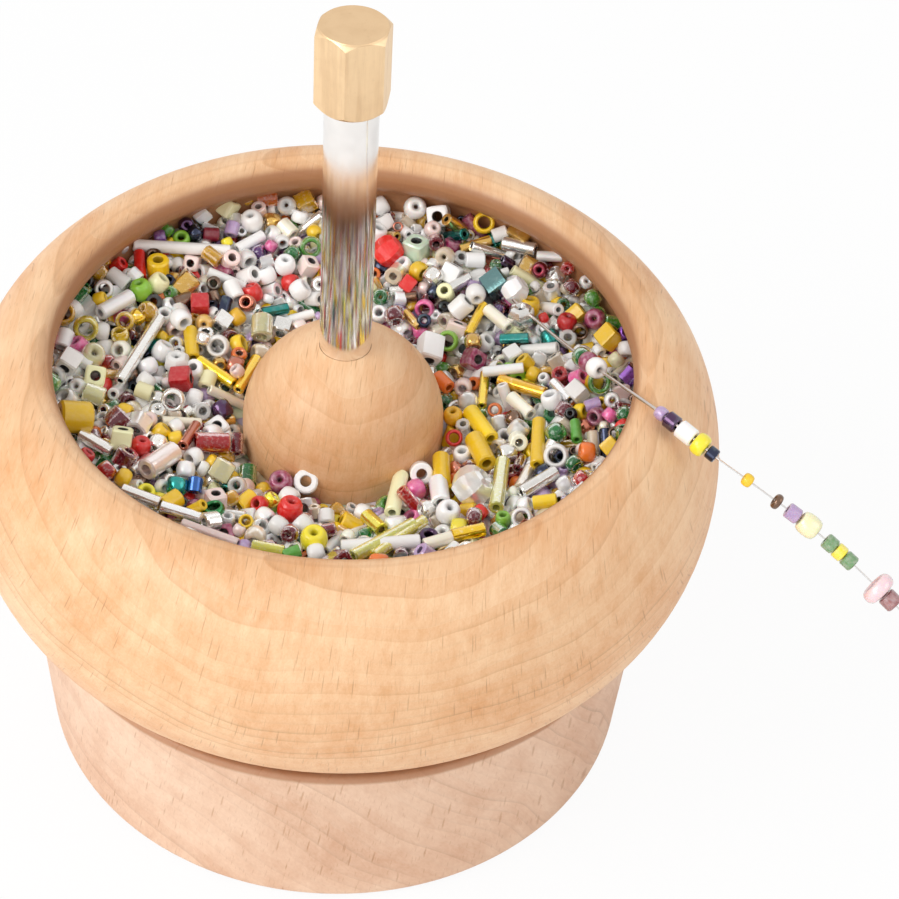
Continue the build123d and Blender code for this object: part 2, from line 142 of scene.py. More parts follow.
class SpinnerMetal(bpy.types.PropertyGroup):
    """Steel and brass"""

    steel: FloatVectorProperty(name="Steel", description="Polished steel", default=(0.93, 0.91, 0.89),
                               subtype="COLOR")
    brass: FloatVectorProperty(name="Brass", description="Pale satin brass", default=(0.96, 0.72, 0.45),
                               subtype="COLOR")
    bearing: FloatVectorProperty(name="Bearing steel", description="Ground rings and balls",
                                 default=(0.62, 0.62, 0.64), subtype="COLOR")
    shield: FloatVectorProperty(name="Shields", description="Pressed steel of the bearings' shields",
                                default=(0.52, 0.52, 0.54), subtype="COLOR")
    cage: FloatVectorProperty(name="Cages", description="Steel of the ball cages",
                              default=(0.56, 0.54, 0.50), subtype="COLOR")
    zinc: FloatVectorProperty(name="Zinc plate", description="Spacer, sleeve and washer",
                              default=(0.58, 0.60, 0.62), subtype="COLOR")
    screw: FloatVectorProperty(name="Screw", description="Dark steel of the screw in the foot",
                               default=(0.40, 0.41, 0.43), subtype="COLOR")
    wire: FloatVectorProperty(name="Needle wire", description="Steel of the needle",
                              default=(0.64, 0.58, 0.54), subtype="COLOR")
    cap_bevel: FloatProperty(name="Cap edge", description="Rounding of the cap's edges", default=0.00022,
                             unit="LENGTH")


class SpinnerBeads(bpy.types.PropertyGroup):
    """Loose beads in the hollow"""

    count: IntProperty(name="Beads", description="How many small beads fill the hollow", default=1750)
    heap_depth: FloatProperty(name="Heap depth", description="Depth of modelled beads below the surface",
                              default=0.0030, unit="LENGTH")
    seed: IntProperty(name="Seed", description="Seed of all random draws", default=11)


class SpinnerStrand(bpy.types.PropertyGroup):
    """Needle, thread and the beads strung on them"""

    thread_diameter: FloatProperty(name="Thread", description="Diameter of the thread", default=0.0003,
                                   unit="LENGTH")
    thread_length: FloatProperty(name="Thread length", description="Length of the thread from eye to knot",
                                 default=0.0376, unit="LENGTH")


# Shader maths

class Signal:
    """A socket that can stand in a sum: each operator adds its Math node."""

    def __init__(self, finish, socket):
        self.finish = finish
        self.socket = socket

    def maths(self, operation, *values):
        sockets = dict(enumerate(values))
        return self.finish.add("ShaderNodeMath", {"operation": operation}, sockets, 0)

    def __add__(self, other):
        return self.maths("ADD", self, other)

    def __radd__(self, other):
        return self.maths("ADD", other, self)

    def __sub__(self, other):
        return self.maths("SUBTRACT", self, other)

    def __rsub__(self, other):
        return self.maths("SUBTRACT", other, self)

    def __mul__(self, other):
        return self.maths("MULTIPLY", self, other)

    def __rmul__(self, other):
        return self.maths("MULTIPLY", other, self)

    def __truediv__(self, other):
        return self.maths("DIVIDE", self, other)

    def __rtruediv__(self, other):
        return self.maths("DIVIDE", other, self)

    def __pow__(self, other):
        return self.maths("POWER", self, other)

    def __abs__(self):
        return self.maths("ABSOLUTE", self)

    def fraction(self):
        return self.maths("FRACT", self)

    def floor(self):
        return self.maths("FLOOR", self)

    def root(self):
        return self.maths("SQRT", self)

    def limit(self):
        return self.finish.add("ShaderNodeClamp", {}, {"Value": self}, "Result")

    def step(self, low, high):
        """Smoothly from 0 at low to 1 at high; low may be the larger."""
        return self.finish.add("ShaderNodeMapRange", {"interpolation_type": "SMOOTHSTEP"},
                               {"Value": self, "From Min": low, "From Max": high}, "Result")


class Finish:
    """A material in the making, with one way to add any node."""

    def __init__(self, name, **shader_values):
        self.material = bpy.data.materials.new(name)
        self.material.use_nodes = True
        self.tree = self.material.node_tree
        self.shader = self.tree.nodes["Principled BSDF"]
        for key, value in shader_values.items():
            self.feed(self.shader.inputs[key.replace("_", " ")], value)

    def feed(self, socket, value):
        if isinstance(value, Signal):
            self.tree.links.new(value.socket, socket)
        elif socket.type == "RGBA" and len(value) == 3:
            socket.default_value = (*value, 1)
        else:
            socket.default_value = value

    def add(self, kind, settings, sockets, output):
        node = self.tree.nodes.new(kind)
        for key, value in settings.items():
            setattr(node, key, value)
        for key, value in sockets.items():
            self.feed(node.inputs[key], value)
        return Signal(self, node.outputs[output])

    def vector(self, operation, *values, **sockets):
        named = {**dict(enumerate(values)), **sockets}
        return self.add("ShaderNodeVectorMath", {"operation": operation}, named, 0)

    def combine(self, x, y, z):
        return self.add("ShaderNodeCombineXYZ", {}, {"X": x, "Y": y, "Z": z}, "Vector")

    def parts(self, vector):
        return [self.add("ShaderNodeSeparateXYZ", {}, {"Vector": vector}, axis) for axis in "XYZ"]

    def mix(self, factor, first, second, blend="MIX"):
        settings = {"data_type": "RGBA", "blend_type": blend, "clamp_factor": True}
        return self.add("ShaderNodeMix", settings, {0: factor, 6: first, 7: second}, 2)

    def noise(self, vector, scale=1.0, detail=2.0, roughness=0.5):
        return self.add("ShaderNodeTexNoise", {}, {"Vector": vector, "Scale": scale, "Detail": detail,
                                                   "Roughness": roughness}, "Fac")

    def cells(self, vector, output, scale=1.0):
        return self.add("ShaderNodeTexVoronoi", {}, {"Vector": vector, "Scale": scale}, output)

    def place(self):
        """The place on the object in millimetres."""
        spot = self.add("ShaderNodeTexCoord", {}, {}, "Object")
        return self.vector("SCALE", spot, Scale=1 / MM)

    def attribute(self, name, output="Color"):
        return self.add("ShaderNodeAttribute", {"attribute_name": name}, {}, output)

    def paint(self, **sockets):
        for key, value in sockets.items():
            self.feed(self.shader.inputs[key.replace("_", " ")], value)

    def bump(self, height, distance):
        bumped = self.add("ShaderNodeBump", {}, {"Height": height, "Distance": distance}, "Normal")
        self.feed(self.shader.inputs["Normal"], bumped)


# Wood

def lip_shade(radius, z):
    """How far the wall under the rim's lip and the bowl's foot lie in the shade."""
    inside = radius.step(WALL_RADIUS + 1.6, WALL_RADIUS + 0.7) * radius.step(19.0, 30.0)
    lip = z.step(CREST_Z - 0.10, CREST_Z - 0.45) * 0.14
    wall = z.step(CREST_Z - 0.50, CREST_Z - 1.6) * 0.76
    on_crest = z.step(CREST_Z - 1.5, CREST_Z - 0.5)
    arris = abs(radius - CREST_RADIUS).step(0.40, 0.12) * on_crest * 0.12
    foot = z.step(FOOT_Z + 1.1, FOOT_Z + 0.1)
    return (inside * (lip + wall + arris) + foot * 0.55).limit()


def gap_shade(radius, z):
    """How far the base's top lies in the shade of the bowl over it."""
    return z.step(BASE_TOP - 1.5, BASE_TOP - 0.6) * 0.75


class Cut:
    """How a piece was cut from its log and where it is shaded.

    turn brings a place into the log's frame, where the grain runs along Y. pith is where the log's
    middle lies in it, across and up in millimetres. tint moves the whole piece to the warm side.
    """

    def __init__(self, turn, pith, tint, shading):
        self.turn = turn
        self.pith = pith
        self.tint = tint
        self.shading = shading


BOWL_CUT = Cut((0.0, 0.0, math.radians(4)), (15.0, 195.0), -0.02, lip_shade)
BASE_CUT = Cut((math.radians(38), math.radians(-34), math.radians(20)), (10.0, 160.0), 0.02, gap_shade)


def growth_rings(finish, log_spot, radius, ring_step):
    """The tone of each ring, and the thin late-wood line that ends it, darker on some."""
    ring = radius / ring_step + finish.noise(log_spot, 0.05, 1.0) * 1.6
    tone = finish.add("ShaderNodeTexWhiteNoise", {"noise_dimensions": "1D"}, {"W": ring.floor()}, "Value")
    phase = ring.fraction()
    late = phase ** 5.0 * phase.step(1.0, 0.93)
    patchy = finish.noise(finish.vector("MULTIPLY", log_spot, (0.03, 0.02, 0.2)), 1.0, 2.0)
    line = late * (0.18 + 0.82 * tone ** 4.0) * patchy.step(0.25, 0.62)
    return tone, line


def rays(finish, log_spot):
    """Thin sheets square to the rings, which show as short dashes: broad ones and fine ones."""
    wander = finish.add("ShaderNodeTexNoise", {}, {"Vector": log_spot, "Scale": 0.35}, "Color")
    broad_spot = finish.vector("MULTIPLY", log_spot, (1 / 0.72, 1 / 8.4, 1 / 11.0))
    broad_spot = finish.vector("ADD", broad_spot, finish.vector("SCALE", wander, Scale=0.16))
    fine_spot = finish.vector("MULTIPLY", log_spot, (1 / 0.34, 1 / 2.6, 1 / 6.0))
    broad = finish.cells(broad_spot, "Distance").step(0.21, 0.09)
    fine = finish.cells(fine_spot, "Distance").step(0.26, 0.12)
    return broad, fine


def beech(name, cut, pale, warm, wood):
    """Beech cut from a log: growth rings round a pith, rays square to them, pores along the grain."""
    finish = Finish(name, IOR=1.45, Coat_Roughness=0.3, Coat_Weight=0.12)
    whole_spot = finish.place()
    spot = finish.add("ShaderNodeMapping", {}, {"Vector": whole_spot, "Rotation": cut.turn}, "Vector")
    x, y, z = finish.parts(spot)
    across = x - cut.pith[0]
    height = cut.pith[1] - z
    sway = finish.noise(spot, 0.011, 2.0) - 0.5
    radius = (across * across + height * height).root() + sway * 22.0
    around = across.maths("ARCTAN2", across, height) * abs(cut.pith[1])
    log_spot = finish.combine(around, y, radius)

    ring_tone, line = growth_rings(finish, log_spot, radius, wood.ring_step)
    ray, fine_ray = rays(finish, log_spot)
    figure = finish.noise(finish.vector("MULTIPLY", log_spot, (0.42, 0.07, 0.30)), 1.0, 3.0, 0.6)
    fibre = finish.noise(finish.vector("MULTIPLY", log_spot, (2.4, 0.16, 2.4)), 1.0, 3.0, 0.6)
    pore_noise = finish.noise(finish.vector("MULTIPLY", log_spot, (5.5, 0.9, 5.5)), 1.0, 1.0)
    pore = pore_noise.step(0.66, 0.78)
    tone = finish.noise(log_spot, 0.045, 3.0, 0.55).step(0.25, 0.78)

    grain = tone * 0.68 + ring_tone * 0.25 + (fibre - 0.5) * 0.60 + (figure - 0.5) * 0.95
    colour = finish.mix((grain + cut.tint).limit(), pale, warm)
    late_wood = tuple(0.55 * part for part in warm)
    colour = finish.mix(line * 0.72, colour, late_wood)
    specks = (ray * 0.62 + fine_ray * 0.30 + pore * 0.16) * (0.45 + tone * 0.55)
    colour = finish.mix(specks, colour, tuple(wood.fleck))
    whole_x, whole_y, whole_z = finish.parts(whole_spot)
    whole_radius = (whole_x * whole_x + whole_y * whole_y).root()
    colour = finish.mix(cut.shading(whole_radius, whole_z), colour, tuple(wood.shade))
    finish.paint(Base_Color=colour, Roughness=0.40 + fibre * 0.16 - ray * 0.06)
    finish.bump(fibre * 0.5 - ray * 0.5 - pore * 0.4 - line * 0.3, 0.00004)
    return finish.material


# Metals

def metal(name, colour, roughness, marks, depth, stretch):
    """Metal with fine marks; stretch says how the marks are drawn out along X, Y and Z."""
    finish = Finish(name, Metallic=1.0)
    spot = finish.vector("MULTIPLY", finish.place(), stretch)
    fine = finish.noise(spot, 1.0, 4.0, 0.65)
    broad = finish.noise(finish.place(), 0.35, 2.0)
    darker = tuple(0.93 * part for part in colour)
    finish.paint(Base_Color=finish.mix(broad.step(0.3, 0.75), colour, darker),
                 Roughness=roughness + fine * marks + broad * marks * 0.5)
    finish.bump(fine, depth)
    return finish.material


def turned_metal(name, colour, roughness, marks, depth, pitch=5.0):
    """Metal with fine rings about the spindle's axis, as a lathe leaves them."""
    finish = Finish(name, Metallic=1.0)
    x, y, z = finish.parts(finish.place())
    radius = (x * x + y * y).root()
    groove = finish.noise(finish.combine(radius * pitch, z * pitch, 0.0), 1.0, 3.0, 0.7)
    broad = finish.noise(finish.place(), 0.5, 2.0)
    darker = tuple(0.82 * part for part in colour)
    finish.paint(Base_Color=finish.mix(broad.step(0.3, 0.75), colour, darker),
                 Roughness=roughness + groove * marks + broad * marks)
    finish.bump(groove, depth)
    return finish.material


def brass(settings):
    """Pale brass bar: drawn lines and painted reflection streaks on the flats, lathe rings and painted
    shade on the end.
    """
    finish = Finish("satin_brass", Metallic=1.0)
    x, y, z = finish.parts(finish.place())
    radius = (x * x + y * y).root()
    drawn = finish.noise(finish.combine(x * 9.0, y * 9.0, z * 0.5), 1.0, 4.0, 0.7)
    rings = finish.noise(finish.combine(radius * 11.0, 0.0, 0.0), 1.0, 3.0, 0.7)
    top = z.step(CAP_TOP - 0.35, CAP_TOP - 0.15)
    marks = drawn * (1 - top) + rings * top
    cloud = finish.noise(finish.place(), 0.4, 3.0)
    pale = tuple(settings.brass)
    deep = (0.70 * pale[0], 0.62 * pale[1], 0.55 * pale[2])
    wear = finish.noise(finish.place(), 1.6, 4.0).step(0.62, 0.75)
    # Broad streaks down the flats are painted reflection.
    reflection_noise = finish.noise(finish.combine(x * 0.8, y * 0.8, z * 0.06), 1.0, 2.0)
    reflection_streak = reflection_noise.step(0.38, 0.66) * (1 - top)
    # The top face is darkened by painted shade, and the streaks are painted reflection.
    tone = cloud.step(0.35, 0.8) * 0.16 + (marks - 0.5) * 0.4 + wear * 0.12 + top * 0.55 + reflection_streak * 0.32
    finish.paint(Base_Color=finish.mix(tone.limit(), pale, deep),
                 Roughness=0.34 + marks * 0.12 - wear * 0.04)
    finish.bump(marks, 0.00002)
    return finish.material


# Beads: each is a closed section swept round its own hole

WALL_SHARE = 0.72
BULGE_MIDDLE = 0.35
BULGE_STEPS = 6


class Bead:
    """One bead: its kind and looks, its size and place in millimetres, and the way its hole looks."""

    def __init__(self, style, finish, colour, radius, half, centre, axis, spin, placed=True):
        self.style = style
        self.finish = finish
        self.colour = colour
        self.radius = radius
        self.half = half
        self.centre = centre
        self.axis = axis / np.linalg.norm(axis)
        self.spin = spin
        self.placed = placed


def plain_outline(angles):
    """Outline of a bead that is round about its hole."""
    return np.ones_like(angles)


def polygon_outline(sides, softness):
    """Radius of a rounded polygon by angle, as a share of its inscribed circle's."""
    def outline(angles):
        step = 2 * math.pi / sides
        off = (angles + step / 2) % step - step / 2
        return np.minimum(1 / np.cos(off), 1 + softness)
    return outline


def bulge(share, roundness):
    """A share with its sign kept, fuller where the roundness is under 1."""
    return math.copysign(abs(share) ** roundness, share)


def rounded_section(radius, half, hole, roundness):
    """Section with a bulging side: from the hole's wall round to the outside."""
    points = [(hole, -half * WALL_SHARE), (hole, half * WALL_SHARE)]
    middle = hole + (radius - hole) * BULGE_MIDDLE
    for step in range(BULGE_STEPS + 1):
        angle = math.pi / 2 - step * math.pi / BULGE_STEPS
        out = bulge(math.cos(angle), roundness)
        up = bulge(math.sin(angle), roundness)
        points.append((middle + (radius - middle) * out, half * up))
    return points


def cut_section(radius, half, hole, edge):
    """Section with flat ends and small bevelled edges."""
    small = edge * 0.5
    upper = [(hole, half - small), (hole + small, half), (radius - edge, half), (radius, half - edge)]
    lower = [(across, -up) for across, up in reversed(upper)]
    return [lower[-1], *upper, *lower[:-1]]


class Style:
    """How one kind of bead is shaped. Its hole tone says how light the painted shade leaves the hole's
    wall.
    """

    def __init__(self, section, hole_share, outline=plain_outline, sides=14, roundness=1.0, crisp=False,
                 shaded_hole_tone=0.6):
        self.section = section
        self.hole_share = hole_share
        self.outline = outline
        self.sides = sides
        self.roundness = roundness
        self.crisp = crisp
        self.shaded_hole_tone = shaded_hole_tone

    def points(self, radius, half, hole):
        if self.section is rounded_section:
            return rounded_section(radius, half, hole, self.roundness)
        return cut_section(radius, half, hole, min(0.14 * radius, 0.2 * half))


STYLES = {
    "rocaille": Style(rounded_section, 0.40, roundness=0.85),
    "ring": Style(rounded_section, 0.56, sides=20),
    "round": Style(rounded_section, 0.20, sides=18),
    "tube": Style(cut_section, 0.46, crisp=True, sides=16),
    "bugle": Style(cut_section, 0.42, crisp=True, sides=12),
    "cube": Style(cut_section, 0.48, polygon_outline(4, 0.30), crisp=True, sides=24, shaded_hole_tone=0.05),
    "hex": Style(cut_section, 0.44, polygon_outline(6, 0.12), crisp=True, sides=18),
    "crystal": Style(rounded_section, 0.16, polygon_outline(6, 0.2), crisp=True, sides=12),
}


def bead_axes(bead):
    """Two directions square to the bead's hole, and the hole's own."""
    guide = np.array([0.0, 0.0, 1.0]) if abs(bead.axis[2]) < 0.9 else np.array([1.0, 0.0, 0.0])
    side = np.cross(guide, bead.axis)
    side /= np.linalg.norm(side)
    other = np.cross(bead.axis, side)
    first = side * math.cos(bead.spin) + other * math.sin(bead.spin)
    second = other * math.cos(bead.spin) - side * math.sin(bead.spin)
    return np.stack([first, second, bead.axis])


def bead_mesh(bead):
    """Vertices in millimetres, faces, which faces line the hole, and how light each vertex is under the
    painted shade in the hole.
    """
    style = STYLES[bead.style]
    hole = bead.radius * style.hole_share
    section = np.array(style.points(bead.radius, bead.half, hole))
    angles = np.arange(style.sides) * 2 * math.pi / style.sides
    stretch = style.outline(angles)
    outer = np.clip((section[:, 0] - hole) / (bead.radius - hole), 0, 1)
    reach = section[:, 0][None] * (1 + (stretch[:, None] - 1) * outer[None])
    up = np.repeat(section[:, 1][None], style.sides, 0)
    local = np.stack([reach * np.cos(angles)[:, None], reach * np.sin(angles)[:, None], up], -1)
    size = len(section)
    column = np.repeat(np.arange(style.sides), size)
    row = np.tile(np.arange(size), style.sides)
    after = (row + 1) % size
    beside = (column + 1) % style.sides
    corners = [column * size + row, beside * size + row, beside * size + after, column * size + after]
    # Painted shade: the rows at the hole's wall are darkened.
    tone = np.where(row < 2, style.shaded_hole_tone, 1.0)
    turned = local.reshape(-1, 3) @ bead_axes(bead)
    return turned + bead.centre, np.stack(corners, -1), row == 0, tone


def new_piece(name, data):
    """An object in the scene that holds a mesh, a curve, a lamp or a camera."""
    piece = bpy.data.objects.new(name, data)
    bpy.context.scene.collection.objects.link(piece)
    return piece


def bead_group(name, beads, materials, body):
    """One object that holds many beads of a like finish, each with its own colour."""
    vertices, faces, walls, colours, reached = [], [], [], [], 0
    for bead in beads:
        spots, quads, wall, tone = bead_mesh(bead)
        vertices.append(spots * MM)
        faces.append(quads + reached)
        walls.append(wall)
        # Each bead's colour carries the painted shade of its hole.
        colours.append(np.array([(*bead.colour, 1.0)]) * tone[:, None])
        reached += len(spots)
    mesh = bpy.data.meshes.new(name)
    mesh.from_pydata(np.concatenate(vertices).tolist(), [], np.concatenate(faces).tolist())
    for material in materials:
        mesh.materials.append(material)
    mesh.shade_smooth()
    if len(materials) > 1:
        mesh.polygons.foreach_set("material_index", np.concatenate(walls).astype(np.int32))
    tint = mesh.color_attributes.new("tint", "FLOAT_COLOR", "POINT")
    tint.data.foreach_set("color", np.concatenate(colours).astype(np.float32).ravel())
    if STYLES[beads[0].style].crisp:
        mesh.set_sharp_from_angle(angle=math.radians(33))
    mesh.update()
    piece = new_piece(name, mesh)
    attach(piece, body)
    return piece


# Bead colours, as they look to the eye

PALETTE = {
    "chalk": (1.0, 0.995, 0.985), "ivory": (1.0, 0.97, 0.88), "cream": (0.98, 0.96, 0.76),
    "crystal": (1.0, 1.0, 0.99), "blush": (0.98, 0.87, 0.84), "champagne": (0.95, 0.88, 0.78),
    "yellow": (0.98, 0.80, 0.03), "lemon": (0.98, 0.91, 0.16), "amber": (0.96, 0.74, 0.06),
    "straw": (0.93, 0.92, 0.40), "gold": (0.86, 0.68, 0.30), "orange": (0.92, 0.45, 0.10),
    "scarlet": (0.90, 0.10, 0.08), "red": (0.80, 0.06, 0.10), "wine": (0.50, 0.04, 0.16),
    "berry": (0.58, 0.10, 0.32), "pink": (0.90, 0.35, 0.62), "lilac": (0.70, 0.58, 0.76),
    "violet": (0.44, 0.22, 0.56), "plum": (0.28, 0.14, 0.30), "navy": (0.10, 0.14, 0.26),
    "blue": (0.14, 0.34, 0.62), "teal": (0.06, 0.55, 0.52), "sea": (0.34, 0.48, 0.48),
    "green": (0.07, 0.52, 0.22), "leaf": (0.36, 0.68, 0.22), "lime": (0.55, 0.78, 0.22),
    "mint": (0.80, 0.90, 0.80), "black": (0.06, 0.06, 0.07), "bronze": (0.45, 0.33, 0.25),
    "copper": (0.78, 0.46, 0.36), "silver": (0.93, 0.92, 0.90), "moss": (0.40, 0.58, 0.36),
    "dusk": (0.60, 0.38, 0.38), "rose": (0.98, 0.84, 0.86),
}


def linear(colour):
    """A colour as the eye sees it, as the linear values that a material holds."""
    return tuple(part / 12.92 if part <= 0.04045 else ((part + 0.055) / 1.055) ** 2.4 for part in colour)


# Beads that can be told apart in the photo. Lying ones: style, finish, colour, radius in
# millimetres and the pixels of both ends of their hole's axis
LYING_BEADS = [
    ("bugle", "opaque", "chalk", 1.05, 133, 245, 230, 251),
    ("tube", "opaque", "chalk", 0.95, 237, 249, 263, 235),
    ("tube", "opaque", "scarlet", 0.95, 139, 252, 141, 278),
    ("tube", "opaque", "chalk", 1.20, 110, 272, 128, 285),
    ("tube", "pearl", "chalk", 1.30, 100, 313, 131, 296),
    ("bugle", "metal", "teal", 0.95, 262, 313, 288, 308),
    ("tube", "opaque", "yellow", 1.15, 190, 329, 193, 358),
    ("bugle", "lined", "silver", 1.05, 120, 381, 160, 318),
    ("bugle", "lined", "yellow", 1.00, 198, 360, 234, 384),
    ("bugle", "lined", "yellow", 0.95, 257, 358, 238, 390),
    ("tube", "opaque", "cream", 1.30, 136, 388, 152, 394),
    ("bugle", "lined", "gold", 0.90, 460, 249, 491, 240),
    ("tube", "pearl", "chalk", 0.90, 537, 256, 563, 257),
    ("bugle", "metal", "silver", 1.00, 448, 290, 470, 277),
    ("bugle", "lined", "yellow", 0.85, 484, 304, 468, 335),
    ("tube", "pearl", "ivory", 1.10, 487, 309, 509, 328),
    ("bugle", "metal", "teal", 0.90, 500, 339, 529, 338),
    ("bugle", "lined", "amber", 1.10, 499, 380, 546, 394),
    ("bugle", "lined", "yellow", 0.80, 485, 373, 482, 406),
    ("bugle", "lined", "silver", 1.05, 80, 434, 112, 452),
    ("bugle", "opaque", "ivory", 0.80, 162, 421, 201, 423),
    ("tube", "glass", "red", 1.60, 195, 442, 229, 443),
    ("tube", "glass", "blush", 1.75, 146, 470, 174, 451),
    ("bugle", "lined", "silver", 0.95, 122, 489, 160, 503),
    ("bugle", "lined", "crystal", 0.90, 161, 506, 201, 518),
    ("bugle", "pearl", "blush", 0.75, 182, 523, 238, 543),
    ("bugle", "glass", "straw", 0.85, 252, 545, 284, 551),
    ("tube", "opaque", "cream", 1.25, 401, 475, 392, 513),
    ("tube", "opaque", "yellow", 1.40, 441, 457, 442, 484),
    ("tube", "pearl", "chalk", 1.50, 438, 481, 441, 503),
    ("tube", "glass", "straw", 1.20, 503, 461, 496, 508),
    ("tube", "opaque", "yellow", 1.40, 470, 411, 491, 439),
    ("tube", "opaque", "yellow", 1.60, 474, 438, 487, 464),
    ("tube", "opaque", "yellow", 1.10, 539, 421, 537, 465),
    ("tube", "pearl", "ivory", 1.15, 511, 397, 531, 415),
    ("bugle", "lined", "yellow", 1.10, 452, 536, 485, 529),
    ("bugle", "glass", "straw", 1.15, 353, 557, 414, 524),
    ("bugle", "glass", "lemon", 0.95, 374, 556, 424, 520),
    ("tube", "lined", "lemon", 1.15, 366, 515, 382, 530),
    ("bugle", "lined", "silver", 1.15, 521, 493, 556, 472),
    ("tube", "opaque", "yellow", 1.10, 533, 503, 557, 500),
    ("tube", "lined", "silver", 1.20, 503, 243, 536, 250),
    ("cube", "lined", "gold", 1.45, 512, 229, 531, 241),
    ("tube", "opaque", "orange", 1.20, 437, 376, 449, 388),
    ("tube", "opaque", "yellow", 2.55, 59, 416, 91, 418),
    ("tube", "pearl", "crystal", 1.10, 66, 352, 92, 366),
    ("tube", "glass", "cream", 1.60, 84, 391, 104, 398),
    ("tube", "opaque", "wine", 1.20, 203, 234, 219, 235),
    ("tube", "glass", "amber", 1.30, 205, 251, 220, 262),
    ("bugle", "opaque", "chalk", 1.10, 341, 547, 420, 541),
    ("tube", "pearl", "ivory", 1.00, 424, 545, 452, 537),
    ("bugle", "lined", "crystal", 0.90, 553, 382, 570, 400),
    ("tube", "pearl", "lilac", 1.00, 585, 407, 600, 402),
    ("tube", "opaque", "leaf", 0.90, 575, 422, 577, 440),
    ("bugle", "lined", "gold", 0.75, 405, 312, 419, 327),
]

